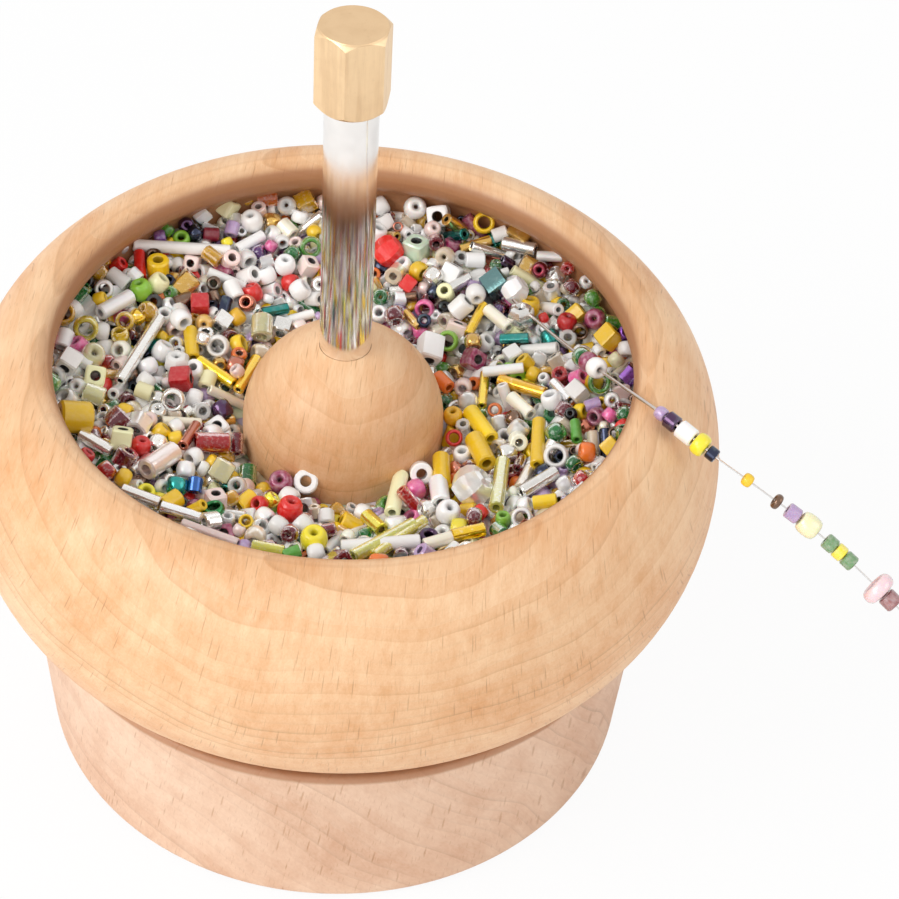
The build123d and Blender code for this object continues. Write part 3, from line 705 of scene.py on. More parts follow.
# Beads that show their end or lie singly: style, finish, colour, radius and half length in
# millimetres, pixel, and which way the hole looks
SINGLE_BEADS = [
    ("cube", "opaque", "cream", 1.45, 1.5, 228, 208, "tilt"),
    ("cube", "pearl", "chalk", 1.35, 1.3, 201, 214, "tilt"),
    ("tube", "glass", "orange", 1.5, 1.8, 268, 198, "side"),
    ("round", "glass", "amber", 1.4, 1.2, 247, 198, "eye"),
    ("round", "glass", "crystal", 1.7, 1.5, 287, 206, "eye"),
    ("cube", "glass", "amber", 1.5, 1.6, 306, 202, "tilt"),
    ("round", "opaque", "chalk", 1.9, 1.7, 252, 221, "up"),
    ("rocaille", "pearl", "pink", 1.1, 0.9, 271, 246, "tilt"),
    ("ring", "glass", "leaf", 1.9, 1.1, 311, 247, "eye"),
    ("round", "metal", "plum", 1.4, 1.2, 186, 225, "eye"),
    ("round", "metal", "navy", 1.5, 1.3, 195, 233, "tilt"),
    ("tube", "pearl", "lilac", 1.2, 1.2, 232, 229, "deep"),
    ("ring", "pearl", "blush", 1.3, 0.8, 146, 232, "eye"),
    ("rocaille", "glass", "leaf", 1.2, 1.0, 167, 230, "tilt"),
    ("rocaille", "pearl", "violet", 1.2, 1.0, 160, 237, "side"),
    ("round", "glass", "crystal", 1.5, 1.3, 120, 246, "eye"),
    ("tube", "opaque", "yellow", 1.85, 1.9, 158, 268, "up"),
    ("round", "opaque", "lime", 1.85, 1.7, 141, 290, "up"),
    ("rocaille", "glass", "amber", 1.5, 1.2, 103, 258, "side"),
    ("rocaille", "glass", "amber", 1.6, 1.3, 98, 271, "tilt"),
    ("tube", "glass", "green", 1.5, 1.7, 79, 292, "tilt"),
    ("round", "metal", "black", 1.3, 1.1, 87, 282, "eye"),
    ("ring", "pearl", "chalk", 1.6, 1.0, 104, 289, "eye"),
    ("cube", "lined", "gold", 1.7, 1.8, 186, 283, "tilt"),
    ("cube", "opaque", "red", 1.55, 1.5, 200, 305, "side"),
    ("tube", "metal", "navy", 1.2, 1.5, 224, 306, "deep"),
    ("round", "pearl", "gold", 1.5, 1.3, 204, 323, "eye"),
    ("rocaille", "opaque", "amber", 1.5, 1.2, 237, 317, "tilt"),
    ("tube", "glass", "cream", 1.8, 2.0, 262, 327, "deep"),
    ("ring", "opaque", "chalk", 1.9, 1.2, 218, 346, "eye"),
    ("ring", "glass", "amber", 2.0, 1.3, 63, 314, "eye"),
    ("ring", "glass", "lemon", 2.1, 1.4, 86, 328, "eye"),
    ("ring", "glass", "yellow", 1.6, 1.1, 125, 321, "eye"),
    ("rocaille", "lined", "yellow", 1.4, 1.1, 137, 317, "tilt"),
    ("ring", "glass", "yellow", 1.5, 1.0, 120, 335, "up"),
    ("tube", "opaque", "red", 1.3, 1.3, 48, 340, "deep"),
    ("tube", "opaque", "chalk", 1.4, 1.5, 64, 339, "deep"),
    ("round", "glass", "amber", 1.6, 1.4, 44, 361, "eye"),
    ("round", "glass", "cream", 2.0, 1.7, 93, 355, "eye"),
    ("round", "glass", "leaf", 1.8, 1.5, 50, 383, "tilt"),
    ("crystal", "opaque", "chalk", 1.9, 1.5, 177, 362, "up"),
    ("cube", "opaque", "red", 1.6, 1.7, 181, 379, "side"),
    ("rocaille", "lined", "orange", 1.4, 0.8, 239, 355, "up"),
    ("round", "pearl", "silver", 2.0, 1.8, 415, 208, "eye"),
    ("cube", "opaque", "chalk", 1.8, 1.9, 439, 216, "eye"),
    ("ring", "opaque", "yellow", 1.9, 1.2, 484, 223, "eye"),
    ("tube", "opaque", "chalk", 1.2, 1.3, 500, 234, "side"),
    ("crystal", "opaque", "scarlet", 2.3, 2.4, 388, 251, "tilt"),
    ("cube", "pearl", "mint", 1.85, 1.8, 416, 249, "up"),
    ("ring", "metal", "copper", 0.95, 0.6, 398, 227, "eye"),
    ("round", "glass", "champagne", 1.8, 1.6, 445, 257, "eye"),
    ("tube", "opaque", "chalk", 1.3, 1.6, 475, 260, "side"),
    ("cube", "metal", "sea", 1.95, 2.0, 496, 284, "tilt"),
    ("crystal", "pearl", "chalk", 2.2, 2.0, 515, 290, "tilt"),
    ("crystal", "lined", "silver", 2.1, 1.9, 521, 316, "up"),
    ("cube", "opaque", "scarlet", 1.2, 1.3, 408, 284, "tilt"),
    ("round", "glass", "green", 1.5, 1.3, 381, 297, "eye"),
    ("rocaille", "metal", "navy", 1.2, 1.0, 434, 292, "tilt"),
    ("rocaille", "metal", "navy", 1.3, 1.0, 424, 321, "eye"),
    ("round", "metal", "black", 1.2, 1.0, 444, 307, "eye"),
    ("hex", "opaque", "chalk", 1.7, 1.6, 461, 307, "tilt"),
    ("ring", "opaque", "lime", 1.8, 1.2, 448, 341, "eye"),
    ("cube", "opaque", "chalk", 1.9, 2.3, 430, 349, "deep"),
    ("round", "metal", "wine", 1.5, 1.3, 540, 270, "eye"),
    ("round", "pearl", "berry", 1.8, 1.6, 595, 319, "eye"),
    ("round", "glass", "red", 1.2, 1.0, 568, 268, "eye"),
    ("rocaille", "glass", "wine", 1.4, 1.1, 572, 287, "tilt"),
    ("round", "opaque", "red", 1.7, 1.3, 567, 322, "up"),
    ("cube", "opaque", "yellow", 1.3, 1.3, 577, 314, "tilt"),
    ("cube", "opaque", "yellow", 1.6, 1.7, 609, 337, "tilt"),
    ("round", "glass", "leaf", 1.5, 1.3, 593, 298, "tilt"),
    ("ring", "glass", "leaf", 2.0, 1.2, 600, 382, "eye"),
    ("round", "metal", "violet", 1.5, 1.3, 626, 333, "eye"),
    ("cube", "metal", "violet", 1.4, 1.4, 630, 374, "tilt"),
    ("rocaille", "pearl", "cream", 1.3, 1.1, 616, 360, "tilt"),
    ("round", "pearl", "chalk", 1.2, 1.0, 586, 282, "eye"),
    ("hex", "glass", "wine", 1.9, 1.6, 118, 420, "tilt"),
    ("hex", "glass", "wine", 1.7, 1.4, 125, 458, "tilt"),
    ("round", "opaque", "scarlet", 1.6, 1.4, 141, 446, "up"),
    ("rocaille", "opaque", "red", 1.3, 1.0, 86, 456, "tilt"),
    ("rocaille", "glass", "red", 1.5, 1.3, 106, 471, "tilt"),
    ("ring", "lined", "silver", 2.0, 1.3, 173, 400, "eye"),
    ("round", "pearl", "blush", 1.4, 1.3, 149, 420, "eye"),
    ("rocaille", "opaque", "yellow", 1.4, 1.2, 161, 432, "tilt"),
    ("rocaille", "opaque", "yellow", 1.3, 1.1, 176, 439, "side"),
    ("tube", "glass", "wine", 1.0, 1.7, 237, 444, "deep"),
    ("cube", "glass", "cream", 1.7, 1.6, 222, 470, "tilt"),
    ("tube", "metal", "blue", 1.2, 1.2, 195, 485, "deep"),
    ("rocaille", "glass", "amber", 1.2, 1.0, 232, 498, "tilt"),
    ("ring", "metal", "green", 1.7, 0.9, 214, 510, "up"),
    ("round", "pearl", "berry", 1.9, 1.7, 281, 482, "eye"),
    ("tube", "opaque", "chalk", 1.9, 1.2, 306, 482, "eye"),
    ("round", "opaque", "scarlet", 2.0, 1.8, 290, 509, "up"),
    ("rocaille", "lined", "lemon", 1.3, 1.0, 271, 500, "tilt"),
    ("round", "glass", "wine", 1.5, 1.3, 290, 534, "eye"),
    ("round", "opaque", "lemon", 2.1, 1.9, 314, 539, "up"),
    ("ring", "opaque", "yellow", 1.2, 0.8, 246, 522, "eye"),
    ("tube", "opaque", "leaf", 1.0, 1.3, 292, 553, "side"),
    ("round", "opaque", "chalk", 1.5, 1.3, 316, 553, "side"),
    ("tube", "opaque", "chalk", 1.8, 1.2, 421, 473, "eye"),
    ("round", "opaque", "chalk", 1.9, 1.7, 448, 512, "up"),
    ("crystal", "glass", "crystal", 2.9, 2.7, 472, 486, "tilt"),
    ("ring", "opaque", "scarlet", 1.4, 0.9, 454, 438, "eye"),
    ("round", "opaque", "amber", 1.6, 1.3, 453, 416, "up"),
    ("round", "metal", "black", 1.1, 0.9, 571, 414, "eye"),
    ("ring", "opaque", "chalk", 2.0, 1.3, 556, 456, "eye"),
    ("round", "glass", "green", 1.7, 1.5, 556, 433, "tilt"),
    ("rocaille", "opaque", "orange", 1.6, 1.2, 587, 452, "side"),
    ("ring", "opaque", "orange", 1.2, 0.8, 495, 410, "eye"),
    ("round", "glass", "wine", 1.7, 1.2, 474, 518, "side"),
    ("rocaille", "opaque", "lime", 1.2, 1.0, 503, 519, "up"),
    ("ring", "pearl", "chalk", 1.7, 1.1, 522, 518, "eye"),
    ("ring", "glass", "red", 1.6, 1.1, 583, 480, "tilt"),
    ("round", "glass", "green", 1.5, 1.3, 625, 415, "tilt"),
    ("rocaille", "pearl", "chalk", 1.3, 1.0, 612, 400, "eye"),
    ("cube", "opaque", "yellow", 1.2, 1.3, 610, 446, "tilt"),
    ("rocaille", "pearl", "pink", 1.2, 1.0, 610, 415, "tilt"),
    ("tube", "opaque", "ivory", 1.4, 1.3, 518, 441, "eye"),
    ("ring", "metal", "bronze", 1.2, 0.8, 615, 434, "eye"),
    ("cube", "opaque", "chalk", 1.5, 1.4, 577, 392, "tilt"),
    ("rocaille", "opaque", "chalk", 1.8, 1.4, 300, 290, "tilt"),
    ("round", "opaque", "chalk", 1.8, 1.6, 285, 265, "up"),
]

# Share of each finish and colour among the small beads that fill the heap
HEAP_MIX = [
    ("opaque", "chalk", 19), ("pearl", "chalk", 14), ("glass", "crystal", 15), ("lined", "silver", 9),
    ("pearl", "ivory", 6), ("opaque", "yellow", 8), ("glass", "amber", 5), ("lined", "gold", 4),
    ("pearl", "blush", 6), ("opaque", "lemon", 2), ("opaque", "scarlet", 3), ("glass", "red", 3),
    ("glass", "wine", 4), ("pearl", "berry", 2), ("metal", "plum", 2), ("metal", "bronze", 3),
    ("metal", "navy", 2), ("opaque", "black", 1), ("metal", "teal", 1), ("glass", "green", 3),
    ("opaque", "lime", 1), ("glass", "leaf", 2), ("pearl", "lilac", 2), ("glass", "violet", 1),
    ("opaque", "orange", 2), ("metal", "copper", 2), ("pearl", "pink", 1), ("glass", "champagne", 4),
    ("opaque", "cream", 2), ("metal", "silver", 3),
]
HEAP_STYLES = [("rocaille", 50), ("ring", 6), ("round", 10), ("tube", 14), ("bugle", 9), ("cube", 5),
               ("hex", 6)]

# Their radii, how far over the bed they start, the ring that they are strewn in, the half length
# from which a bead rather lies than stands, and how far over and under the bed's surface a bead is
# kept, in millimetres
HEAP_RADII = [0.9, 1.0, 1.15, 1.3, 1.5, 1.7]
HEAP_RISE = 1.6
HEAP_RING = (17.5, 47.0)
LONG_HALF = 1.9
KEPT_PROUD = 2.6
KEPT_SUNK = 3.2

# How the loose beads settle: rounds, how often near pairs are sought, and how far each sinks a round
SETTLE_ROUNDS = 150
SEARCH_EVERY = 10
SEARCH_MARGIN = 0.8
SEARCH_BLOCK = 400
EARLY_SINK = 0.05
LATE_SINK = 0.02
LATE_SHARE = 0.75
OUTWARD_SHARE = 0.22
CROWD_POWER = 0.6
LEVER_LEAST = 0.6
TINY = 1e-6


def camera_matrix(stage):
    """Where the camera stands and how it is turned."""
    turn = (Matrix.Rotation(-stage.yaw, 4, "Z") @ Matrix.Rotation(math.pi / 2 - stage.pitch, 4, "X")
            @ Matrix.Rotation(stage.roll, 4, "Z"))
    return Matrix.Translation(stage.eye) @ turn


def bed_height(radius):
    """Height of the bead bed's surface over its dish, in millimetres."""
    dome_side = CREST_Z - BED_DOME_DROP
    share = np.clip((radius - BED_INNER_RADIUS) / (WALL_RADIUS - BED_INNER_RADIUS), 0, 1)
    return dome_side + (WALL_Z - dome_side) * share * (BED_SLOPE + BED_CURVE * share)


def bed_place(pixel, lift, stage):
    """Where the photo's pixel meets the bed, lifted, in millimetres."""
    matrix = camera_matrix(stage)
    focal = stage.lens / SENSOR * IMAGE_PIXELS
    middle = IMAGE_PIXELS / 2
    ray = matrix.to_3x3() @ Vector(((pixel[0] - middle) / focal, (middle - pixel[1]) / focal, -1))
    eye = matrix.translation / MM
    height = WALL_Z
    for _ in range(12):
        spot = eye + ray * ((height - eye.z) / ray.z)
        height = float(bed_height(math.hypot(spot.x, spot.y))) + lift
    return np.array(spot)


def hole_direction(facing, spot, stage, draw):
    """Which way a single bead's hole looks, a little off from bead to bead."""
    eye = np.array(stage.eye) / MM - spot
    eye /= np.linalg.norm(eye)
    wobble = np.array([draw.uniform(-0.22, 0.22) for _ in range(3)])
    ways = {"eye": eye, "up": np.array([0.0, 0.0, 1.0]), "side": np.array([1.0, 0.1, 0.1]),
            "deep": np.array([0.15, 0.9, 0.5]), "tilt": np.array([0.65, 0.35, 0.65])}
    return ways[facing] + wobble


def tinted(name, draw):
    """A palette colour, a little lighter or darker from bead to bead."""
    shade = 1 + draw.uniform(-0.07, 0.07)
    return linear(tuple(min(1.0, part * shade) for part in PALETTE[name]))


def placed_beads(stage, draw):
    """The beads that the photo shows singly."""
    beads = []
    for style, finish, colour, radius, x0, y0, x1, y1 in LYING_BEADS:
        start = bed_place((x0, y0), radius * 0.9, stage)
        end = bed_place((x1, y1), radius * 0.9, stage)
        length = np.linalg.norm(end - start)
        beads.append(Bead(style, finish, tinted(colour, draw), radius, length / 2, (start + end) / 2,
                          (end - start) / length, draw.uniform(0, 1.0)))
    for style, finish, colour, radius, half, x, y, facing in SINGLE_BEADS:
        spot = bed_place((x, y), radius * 0.75, stage)
        beads.append(Bead(style, finish, tinted(colour, draw), radius, half, spot,
                          hole_direction(facing, spot, stage, draw), draw.uniform(0, 1.0)))
    return beads


def loose_size(style, draw):
    """Radius and half length of a loose bead, in millimetres."""
    radius = draw.choice(HEAP_RADII)
    half = radius * draw.uniform(0.7, 0.9)
    if style == "bugle":
        radius = draw.uniform(0.8, 1.1)
        half = draw.uniform(2.0, 3.8)
    elif style in ("tube", "hex"):
        radius = draw.uniform(0.9, 1.5)
        half = radius * draw.uniform(0.8, 1.25)
    elif style == "cube":
        radius = draw.uniform(1.2, 1.7)
        half = radius
    elif style == "ring":
        half = radius * 0.6
    return radius, half


def loose_beads(settings, draw):
    """Small beads scattered over the hollow, before they settle."""
    beads = []
    kinds, kind_weights = zip(*HEAP_STYLES)
    mixes, mix_weights = [row[:2] for row in HEAP_MIX], [row[2] for row in HEAP_MIX]
    inner, outer = HEAP_RING
    for _ in range(settings.count):
        style = draw.choices(kinds, kind_weights)[0]
        finish, colour = draw.choices(mixes, mix_weights)[0]
        radius, half = loose_size(style, draw)
        distance = math.sqrt(draw.uniform(inner ** 2, outer ** 2))
        angle = draw.uniform(0, 2 * math.pi)
        level = bed_height(distance) + draw.uniform(HEAP_RISE, -settings.heap_depth / MM)
        centre = np.array([distance * math.cos(angle), distance * math.sin(angle), level])
        steepness = 0.35 if half > LONG_HALF else 1.0
        axis = np.array([draw.gauss(0, 1), draw.gauss(0, 1), draw.gauss(0, steepness)])
        beads.append(Bead(style, finish, tinted(colour, draw), radius, half, centre, axis,
                          draw.uniform(0, math.pi), placed=False))
    return beads


def hollow_wall(height):
    """Radius of the hollow's wall at a height, in millimetres."""
    widest = CREST_Z - HOLLOW_WIDEST_DROP
    fall = np.minimum(height - widest, 0) / HOLLOW_DEPTH
    below = HOLLOW_MIDDLE_RADIUS + HOLLOW_CORNER * np.sqrt(np.clip(1 - fall ** 2, 0, 1))
    above = np.clip((height - widest) / LIP_RISE, 0, 1)
    return below - LIP_WIDTH * above * above * (3 - 2 * above)


def bead_spheres(beads):
    """Spheres that stand for the beads while they settle: long ones get a row of them."""
    owners, offsets, radii = [], [], []
    for index, bead in enumerate(beads):
        reach = bead.radius
        if bead.half > 1.3 * reach:
            spread = bead.half - reach * 0.8
            count = max(2, int(math.ceil(2 * spread / (1.4 * reach))) + 1)
            places = np.linspace(-spread, spread, count)
        else:
            places = np.zeros(1)
            reach = 0.5 * (reach + min(bead.half, reach)) * (1.12 if bead.style == "cube" else 1.0)
        owners += [index] * len(places)
        offsets += list(places)
        radii += [reach] * len(places)
    return np.array(owners), np.array(offsets), np.array(radii)


def near_pairs(spots, radii, owner, free, spheres):
    """Spheres of two beads that lie near each other, where at least one may move."""
    firsts, seconds = [], []
    for start in range(0, spheres, SEARCH_BLOCK):
        stop = start + SEARCH_BLOCK
        gap = ((spots[start:stop, None] - spots[None]) ** 2).sum(-1)
        reach = radii[start:stop, None] + radii[None] + SEARCH_MARGIN
        one, other = np.nonzero(gap < reach ** 2)
        one = one + start
        keep = (other > one) & (owner[one] != owner[other])
        keep &= (free[one] + free[other]) > 0
        firsts.append(one[keep])
        seconds.append(other[keep])
    return np.concatenate(firsts), np.concatenate(seconds)


def contact_moves(spots, radii, free, first, second):
    """How far the spheres that overlap push each other apart."""
    line = spots[second] - spots[first]
    distance = np.maximum(np.linalg.norm(line, axis=1), TINY)
    overlap = np.maximum(radii[first] + radii[second] - distance, 0)
    push = line / distance[:, None] * overlap[:, None]
    weight = free[first] + free[second]
    first_share = free[first] / weight
    second_share = free[second] / weight
    total = len(spots)
    move = np.zeros((total, 3))
    touched = np.bincount(first, overlap > 0, minlength=total)
    touched = touched + np.bincount(second, overlap > 0, minlength=total)
    for part in range(3):
        move[:, part] -= np.bincount(first, push[:, part] * first_share, minlength=total)
        move[:, part] += np.bincount(second, push[:, part] * second_share, minlength=total)
    return move / np.maximum(touched, 1)[:, None] ** CROWD_POWER


def keep_in_hollow(move, spots, radii, sink, depth):
    """Adds what the wall, the dome, the bed's floor and the beads' weight do to the spheres."""
    flat = np.maximum(np.linalg.norm(spots[:, :2], axis=1), TINY)
    outward = np.concatenate([spots[:, :2] / flat[:, None], np.zeros((len(spots), 1))], 1)
    past_wall = np.maximum(flat + radii - hollow_wall(spots[:, 2]), 0)
    move -= outward * past_wall[:, None]
    from_dome = spots - np.array([0.0, 0.0, CREST_Z - DOME_RADIUS])
    from_dome[:, 2] = np.maximum(from_dome[:, 2], 0)
    dome_gap = np.maximum(np.linalg.norm(from_dome, axis=1), TINY)
    into_dome = np.maximum(DOME_REACH + radii - dome_gap, 0)
    move += from_dome / dome_gap[:, None] * into_dome[:, None]
    below = np.maximum(bed_height(flat) - depth + radii - spots[:, 2], 0)
    move[:, 2] += below
    move[:, 2] -= sink * (below == 0)
    move[:, :2] += outward[:, :2] * sink * OUTWARD_SHARE


def settle(beads, barriers, settings):
    """Lets the beads sink onto each other until hardly any two overlap."""
    owners, offsets, radii = bead_spheres(beads)
    centre = np.array([bead.centre for bead in beads])
    axis = np.array([bead.axis for bead in beads])
    loose = np.array([0.0 if bead.placed else 1.0 for bead in beads])
    count = len(beads)
    spheres = len(owners)
    per_bead = np.maximum(np.bincount(owners, minlength=count), 1)
    lever = np.bincount(owners, offsets ** 2, minlength=count) + LEVER_LEAST
    free = loose[owners]
    all_radii = np.concatenate([radii, barriers[:, 3]])
    all_free = np.concatenate([free, np.zeros(len(barriers))])
    all_owners = np.concatenate([owners, -1 - np.arange(len(barriers))])
    for turn in range(SETTLE_ROUNDS):
        spots = centre[owners] + offsets[:, None] * axis[owners]
        all_spots = np.concatenate([spots, barriers[:, :3]])
        if turn % SEARCH_EVERY == 0:
            first, second = near_pairs(all_spots, all_radii, all_owners, all_free, spheres)
        move = contact_moves(all_spots, all_radii, all_free, first, second)[:spheres]
        sink = EARLY_SINK if turn < SETTLE_ROUNDS * LATE_SHARE else LATE_SINK
        keep_in_hollow(move, spots, radii, sink, settings.heap_depth / MM)
        move *= free[:, None]
        across = move - (move * axis[owners]).sum(1)[:, None] * axis[owners]
        for part in range(3):
            centre[:, part] += np.bincount(owners, move[:, part], minlength=count) / per_bead
            swing = np.bincount(owners, across[:, part] * offsets, minlength=count)
            axis[:, part] += swing / lever
        axis /= np.linalg.norm(axis, axis=1)[:, None]
    for index, bead in enumerate(beads):
        bead.centre = centre[index]
        bead.axis = axis[index]


def strand_barriers():
    """The needle and what is strung on it, as spheres that the loose beads keep clear of."""
    step = 0.7
    needle_reach = 0.45
    spots = set()
    for vertex in frame["nodes"]["needle"].data.vertices:
        spot = vertex.co / MM
        if math.hypot(spot.x, spot.y) < WALL_RADIUS:
            spots.add(tuple(round(part / step) * step for part in spot))
    barriers = [(*spot, needle_reach) for spot in sorted(spots)]
    line = smooth_curve("needle_line", NEEDLE_ROUTE)
    for bead in strung(line_points(line)[::-1], NEEDLE_STRAND, random.Random(STRAND_SEED)):
        barriers.append((*bead.centre, bead.radius))
    bpy.data.objects.remove(line)
    return np.array(barriers)


# Bead finishes

def glassy(name, **values):
    """A bead finish that takes its colour from each bead."""
    finish = Finish(name, **values)
    spot = finish.place()
    tint = finish.attribute("tint")
    cloud = finish.noise(spot, 1.4, 2.0)
    return finish, spot, tint, cloud


def opaque_beads():
    finish, spot, tint, cloud = glassy("opaque_beads", Coat_Weight=0.5, Coat_Roughness=0.08, IOR=1.5)
    worn = finish.noise(spot, 3.0, 3.0)
    colour = finish.mix(cloud.step(0.35, 0.8) * 0.07, tint, (0.9, 0.8, 0.7))
    finish.paint(Base_Color=colour, Roughness=0.22 + worn * 0.22)
    finish.bump(worn, 0.00003)
    return finish.material


def glass_beads():
    finish, spot, tint, cloud = glassy("glass_beads", Transmission_Weight=0.5, IOR=1.45, Coat_Weight=0.5,
                                       Coat_Roughness=0.03)
    ripple = finish.noise(spot, 2.2, 2.0)
    colour = finish.mix(ripple.step(0.5, 0.75) * 0.35, tint, (1.0, 0.99, 0.97))
    finish.paint(Base_Color=colour, Roughness=0.05 + cloud * 0.10)
    finish.bump(ripple, 0.00004)
    return finish.material


def lined_beads():
    finish, spot, tint, cloud = glassy("lined_beads", Transmission_Weight=0.25, IOR=1.5, Coat_Weight=0.9,
                                       Coat_Roughness=0.03)
    x, y, z = finish.parts(spot)
    streak = finish.noise(finish.combine(x * 0.8, y * 0.8, z * 2.4), 1.0, 2.0)
    colour = finish.mix(streak.step(0.55, 0.8) * 0.5, tint, (1, 1, 1))
    finish.paint(Base_Color=colour, Metallic=0.55 + streak * 0.25, Roughness=0.10 + cloud * 0.15)
    finish.bump(streak, 0.00003)
    return finish.material


def metal_beads():
    finish, spot, tint, cloud = glassy("metal_beads", Coat_Weight=0.8, Coat_Roughness=0.05)
    sheen = finish.noise(spot, 0.7, 2.0)
    colour = finish.mix(sheen.step(0.5, 0.8) * 0.35, tint, (0.30, 0.42, 0.40))
    finish.paint(Base_Color=colour, Metallic=0.75 + cloud * 0.2, Roughness=0.14 + cloud * 0.16)
    finish.bump(cloud, 0.00003)
    return finish.material


def pearl_beads():
    finish, spot, tint, cloud = glassy("pearl_beads", Coat_Weight=1.0, Coat_Roughness=0.12,
                                       Subsurface_Weight=0.15, Subsurface_Scale=0.0008)
    colour = finish.mix(cloud.step(0.3, 0.8) * 0.25, tint, (0.95, 0.85, 0.86))
    finish.paint(Base_Color=colour, Metallic=0.12, Roughness=0.26 + cloud * 0.15)
    finish.bump(cloud, 0.00002)
    return finish.material


def silver_lining():
    finish, spot, tint, cloud = glassy("silver_lining", Metallic=1.0)
    finish.paint(Base_Color=finish.mix(0.6, tint, (0.9, 0.88, 0.85)), Roughness=0.15 + cloud * 0.2)
    finish.bump(cloud, 0.00003)
    return finish.material


def shadow_bed():
    """What lies under the modelled beads: more beads, seen only through the gaps, with painted shade in
    the dark edges between them.
    """
    finish = Finish("deep_beads")
    spot = finish.place()
    cell = finish.cells(spot, "Color", 0.45)
    edge = finish.cells(spot, "Distance", 0.45)
    colour = finish.mix(0.6, cell, (0.85, 0.76, 0.64))
    # Dark cell edges are painted shade between the deeper beads.
    colour = finish.mix(edge.step(0.45, 0.95), colour, (0.14, 0.09, 0.06))
    finish.paint(Base_Color=colour, Roughness=0.3 + edge * 0.3)
    finish.bump(1 - edge, 0.0006)
    return finish.material


BEAD_FINISHES = {"opaque": opaque_beads, "glass": glass_beads, "lined": lined_beads, "metal": metal_beads,
                 "pearl": pearl_beads}


def bead_finishes():
    """A new material for each finish that a bead can have."""
    return {name: make() for name, make in BEAD_FINISHES.items()}


def deep_bed(settings):
    """The dished surface under the modelled beads."""
    rings, sides = 24, 120
    lift = 0.4
    depth = settings.heap_depth / MM
    vertices, faces = [], []
    for ring in range(rings):
        radius = DOME_REACH + (WALL_RADIUS - DOME_REACH) * ring / (rings - 1)
        height = float(bed_height(radius)) - depth + lift
        for side in range(sides):
            angle = 2 * math.pi * side / sides
            vertices.append((radius * math.cos(angle) * MM, radius * math.sin(angle) * MM, height * MM))
    for ring in range(rings - 1):
        for side in range(sides):
            after = (side + 1) % sides
            faces.append((ring * sides + side, (ring + 1) * sides + side,
                          (ring + 1) * sides + after, ring * sides + after))
    mesh = bpy.data.meshes.new("deep_beads")
    mesh.from_pydata(vertices, [], faces)
    mesh.shade_smooth()
    mesh.materials.append(shadow_bed())
    return new_piece("deep_beads", mesh)


# Strung beads: style, finish, colour, radius, half length and the gap before the bead, all in
# millimetres, from the needle's eye on
NEEDLE_STRAND = [
    ("tube", "metal", "navy", 1.10, 0.80, 0.56), ("rocaille", "opaque", "lemon", 1.80, 1.10, 0.30),
    ("tube", "pearl", "chalk", 1.45, 1.45, 0.20), ("tube", "metal", "plum", 1.35, 1.05, 0.30),
    ("rocaille", "pearl", "lilac", 1.10, 0.95, 0.15), ("round", "opaque", "chalk", 1.70, 1.45, 17.40),
    ("round", "pearl", "berry", 1.70, 1.20, 0.10), ("rocaille", "glass", "green", 1.60, 1.05, 0.10),
]
THREAD_STRAND = [
    ("rocaille", "opaque", "yellow", 1.05, 0.75, 4.55), ("ring", "metal", "bronze", 1.25, 0.55, 4.20),
    ("tube", "pearl", "lilac", 1.25, 1.05, 1.40), ("rocaille", "pearl", "cream", 1.80, 1.65, 0.30),
    ("tube", "pearl", "moss", 1.25, 0.95, 1.60), ("tube", "pearl", "lemon", 1.25, 0.80, 0.15),
    ("tube", "pearl", "moss", 1.25, 0.95, 0.15), ("ring", "pearl", "rose", 2.60, 1.10, 3.95),
    ("tube", "pearl", "dusk", 1.45, 1.10, 0.30),
]

# The needle's places from under the beads to its eye, and the thread's steps on from there, in
# millimetres, as the part has them
NEEDLE_ROUTE = [(24.48, 30.0, 64.53), (32.112, 16.32, 66.6), (38.304, 3.6, 70.61), (43.68, -9.6, 76.39),
                (48.144, -17.232, 78.67), (56.064, -22.8, 75.33)]
THREAD_STEPS = [(6.5, -2.6, -3.5), (11.2, -5.0, -5.9), (11.7, -8.7, -7.2)]
STRAND_SEED = 3


def thread_route():
    """Places that lead the thread from the needle's eye to its knot, in millimetres."""
    spots = [Vector(NEEDLE_ROUTE[-1])]
    for step in THREAD_STEPS:
        spots.append(spots[-1] + Vector(step))
    return spots


def smooth_curve(name, spots):
    """One open smooth spline with the route's places as its control points."""
    curve = bpy.data.curves.new(name, "CURVE")
    curve.dimensions = "3D"
    spline = curve.splines.new("NURBS")
    spline.points.add(len(spots) - 1)
    for point, spot in zip(spline.points, spots):
        point.co = (*(Vector(spot) * MM), 1)
    spline.order_u = 3
    spline.use_endpoint_u = True
    spline.resolution_u = 24
    return new_piece(name, curve)


def line_points(piece):
    """Places along a curve that has no thickness yet, in millimetres."""
    bpy.context.view_layer.update()
    mesh = bpy.data.meshes.new_from_object(piece)
    spots = np.array([vertex.co for vertex in mesh.vertices], float) / MM
    bpy.data.meshes.remove(mesh)
    return spots


def along(spots, travelled, reached):
    """The place that lies a given way along a line of places."""
    return np.array([np.interp(reached, travelled, spots[:, part]) for part in range(3)])


def strung(spots, strand, draw):
    """Beads strung one after another along places on a line."""
    steps = np.linalg.norm(np.diff(spots, axis=0), axis=1)
    travelled = np.concatenate([[0.0], np.cumsum(steps)])
    look = 0.2
    beads, reached = [], 0.0
    for style, finish, colour, radius, half, gap in strand:
        middle = reached + gap + half
        reached = middle + half
        heading = along(spots, travelled, middle + look) - along(spots, travelled, middle - look)
        beads.append(Bead(style, finish, linear(PALETTE[colour]), radius, half,
                          along(spots, travelled, middle), heading, draw.uniform(0, 1)))
    return beads


# Lamps: name, place and size in metres, and colour
LAMPS = [
    ("key", (-0.80, -0.38, 0.78), 0.7, (1.0, 0.99, 0.97)),
    ("fill", (0.75, -0.25, 0.55), 0.6, (1.0, 0.99, 0.98)),
    ("front", (-0.50, -0.85, 0.36), 0.6, (1.0, 0.99, 0.98)),
]
LAMP_TARGET = Vector((0, 0, 0.05))


# Operators

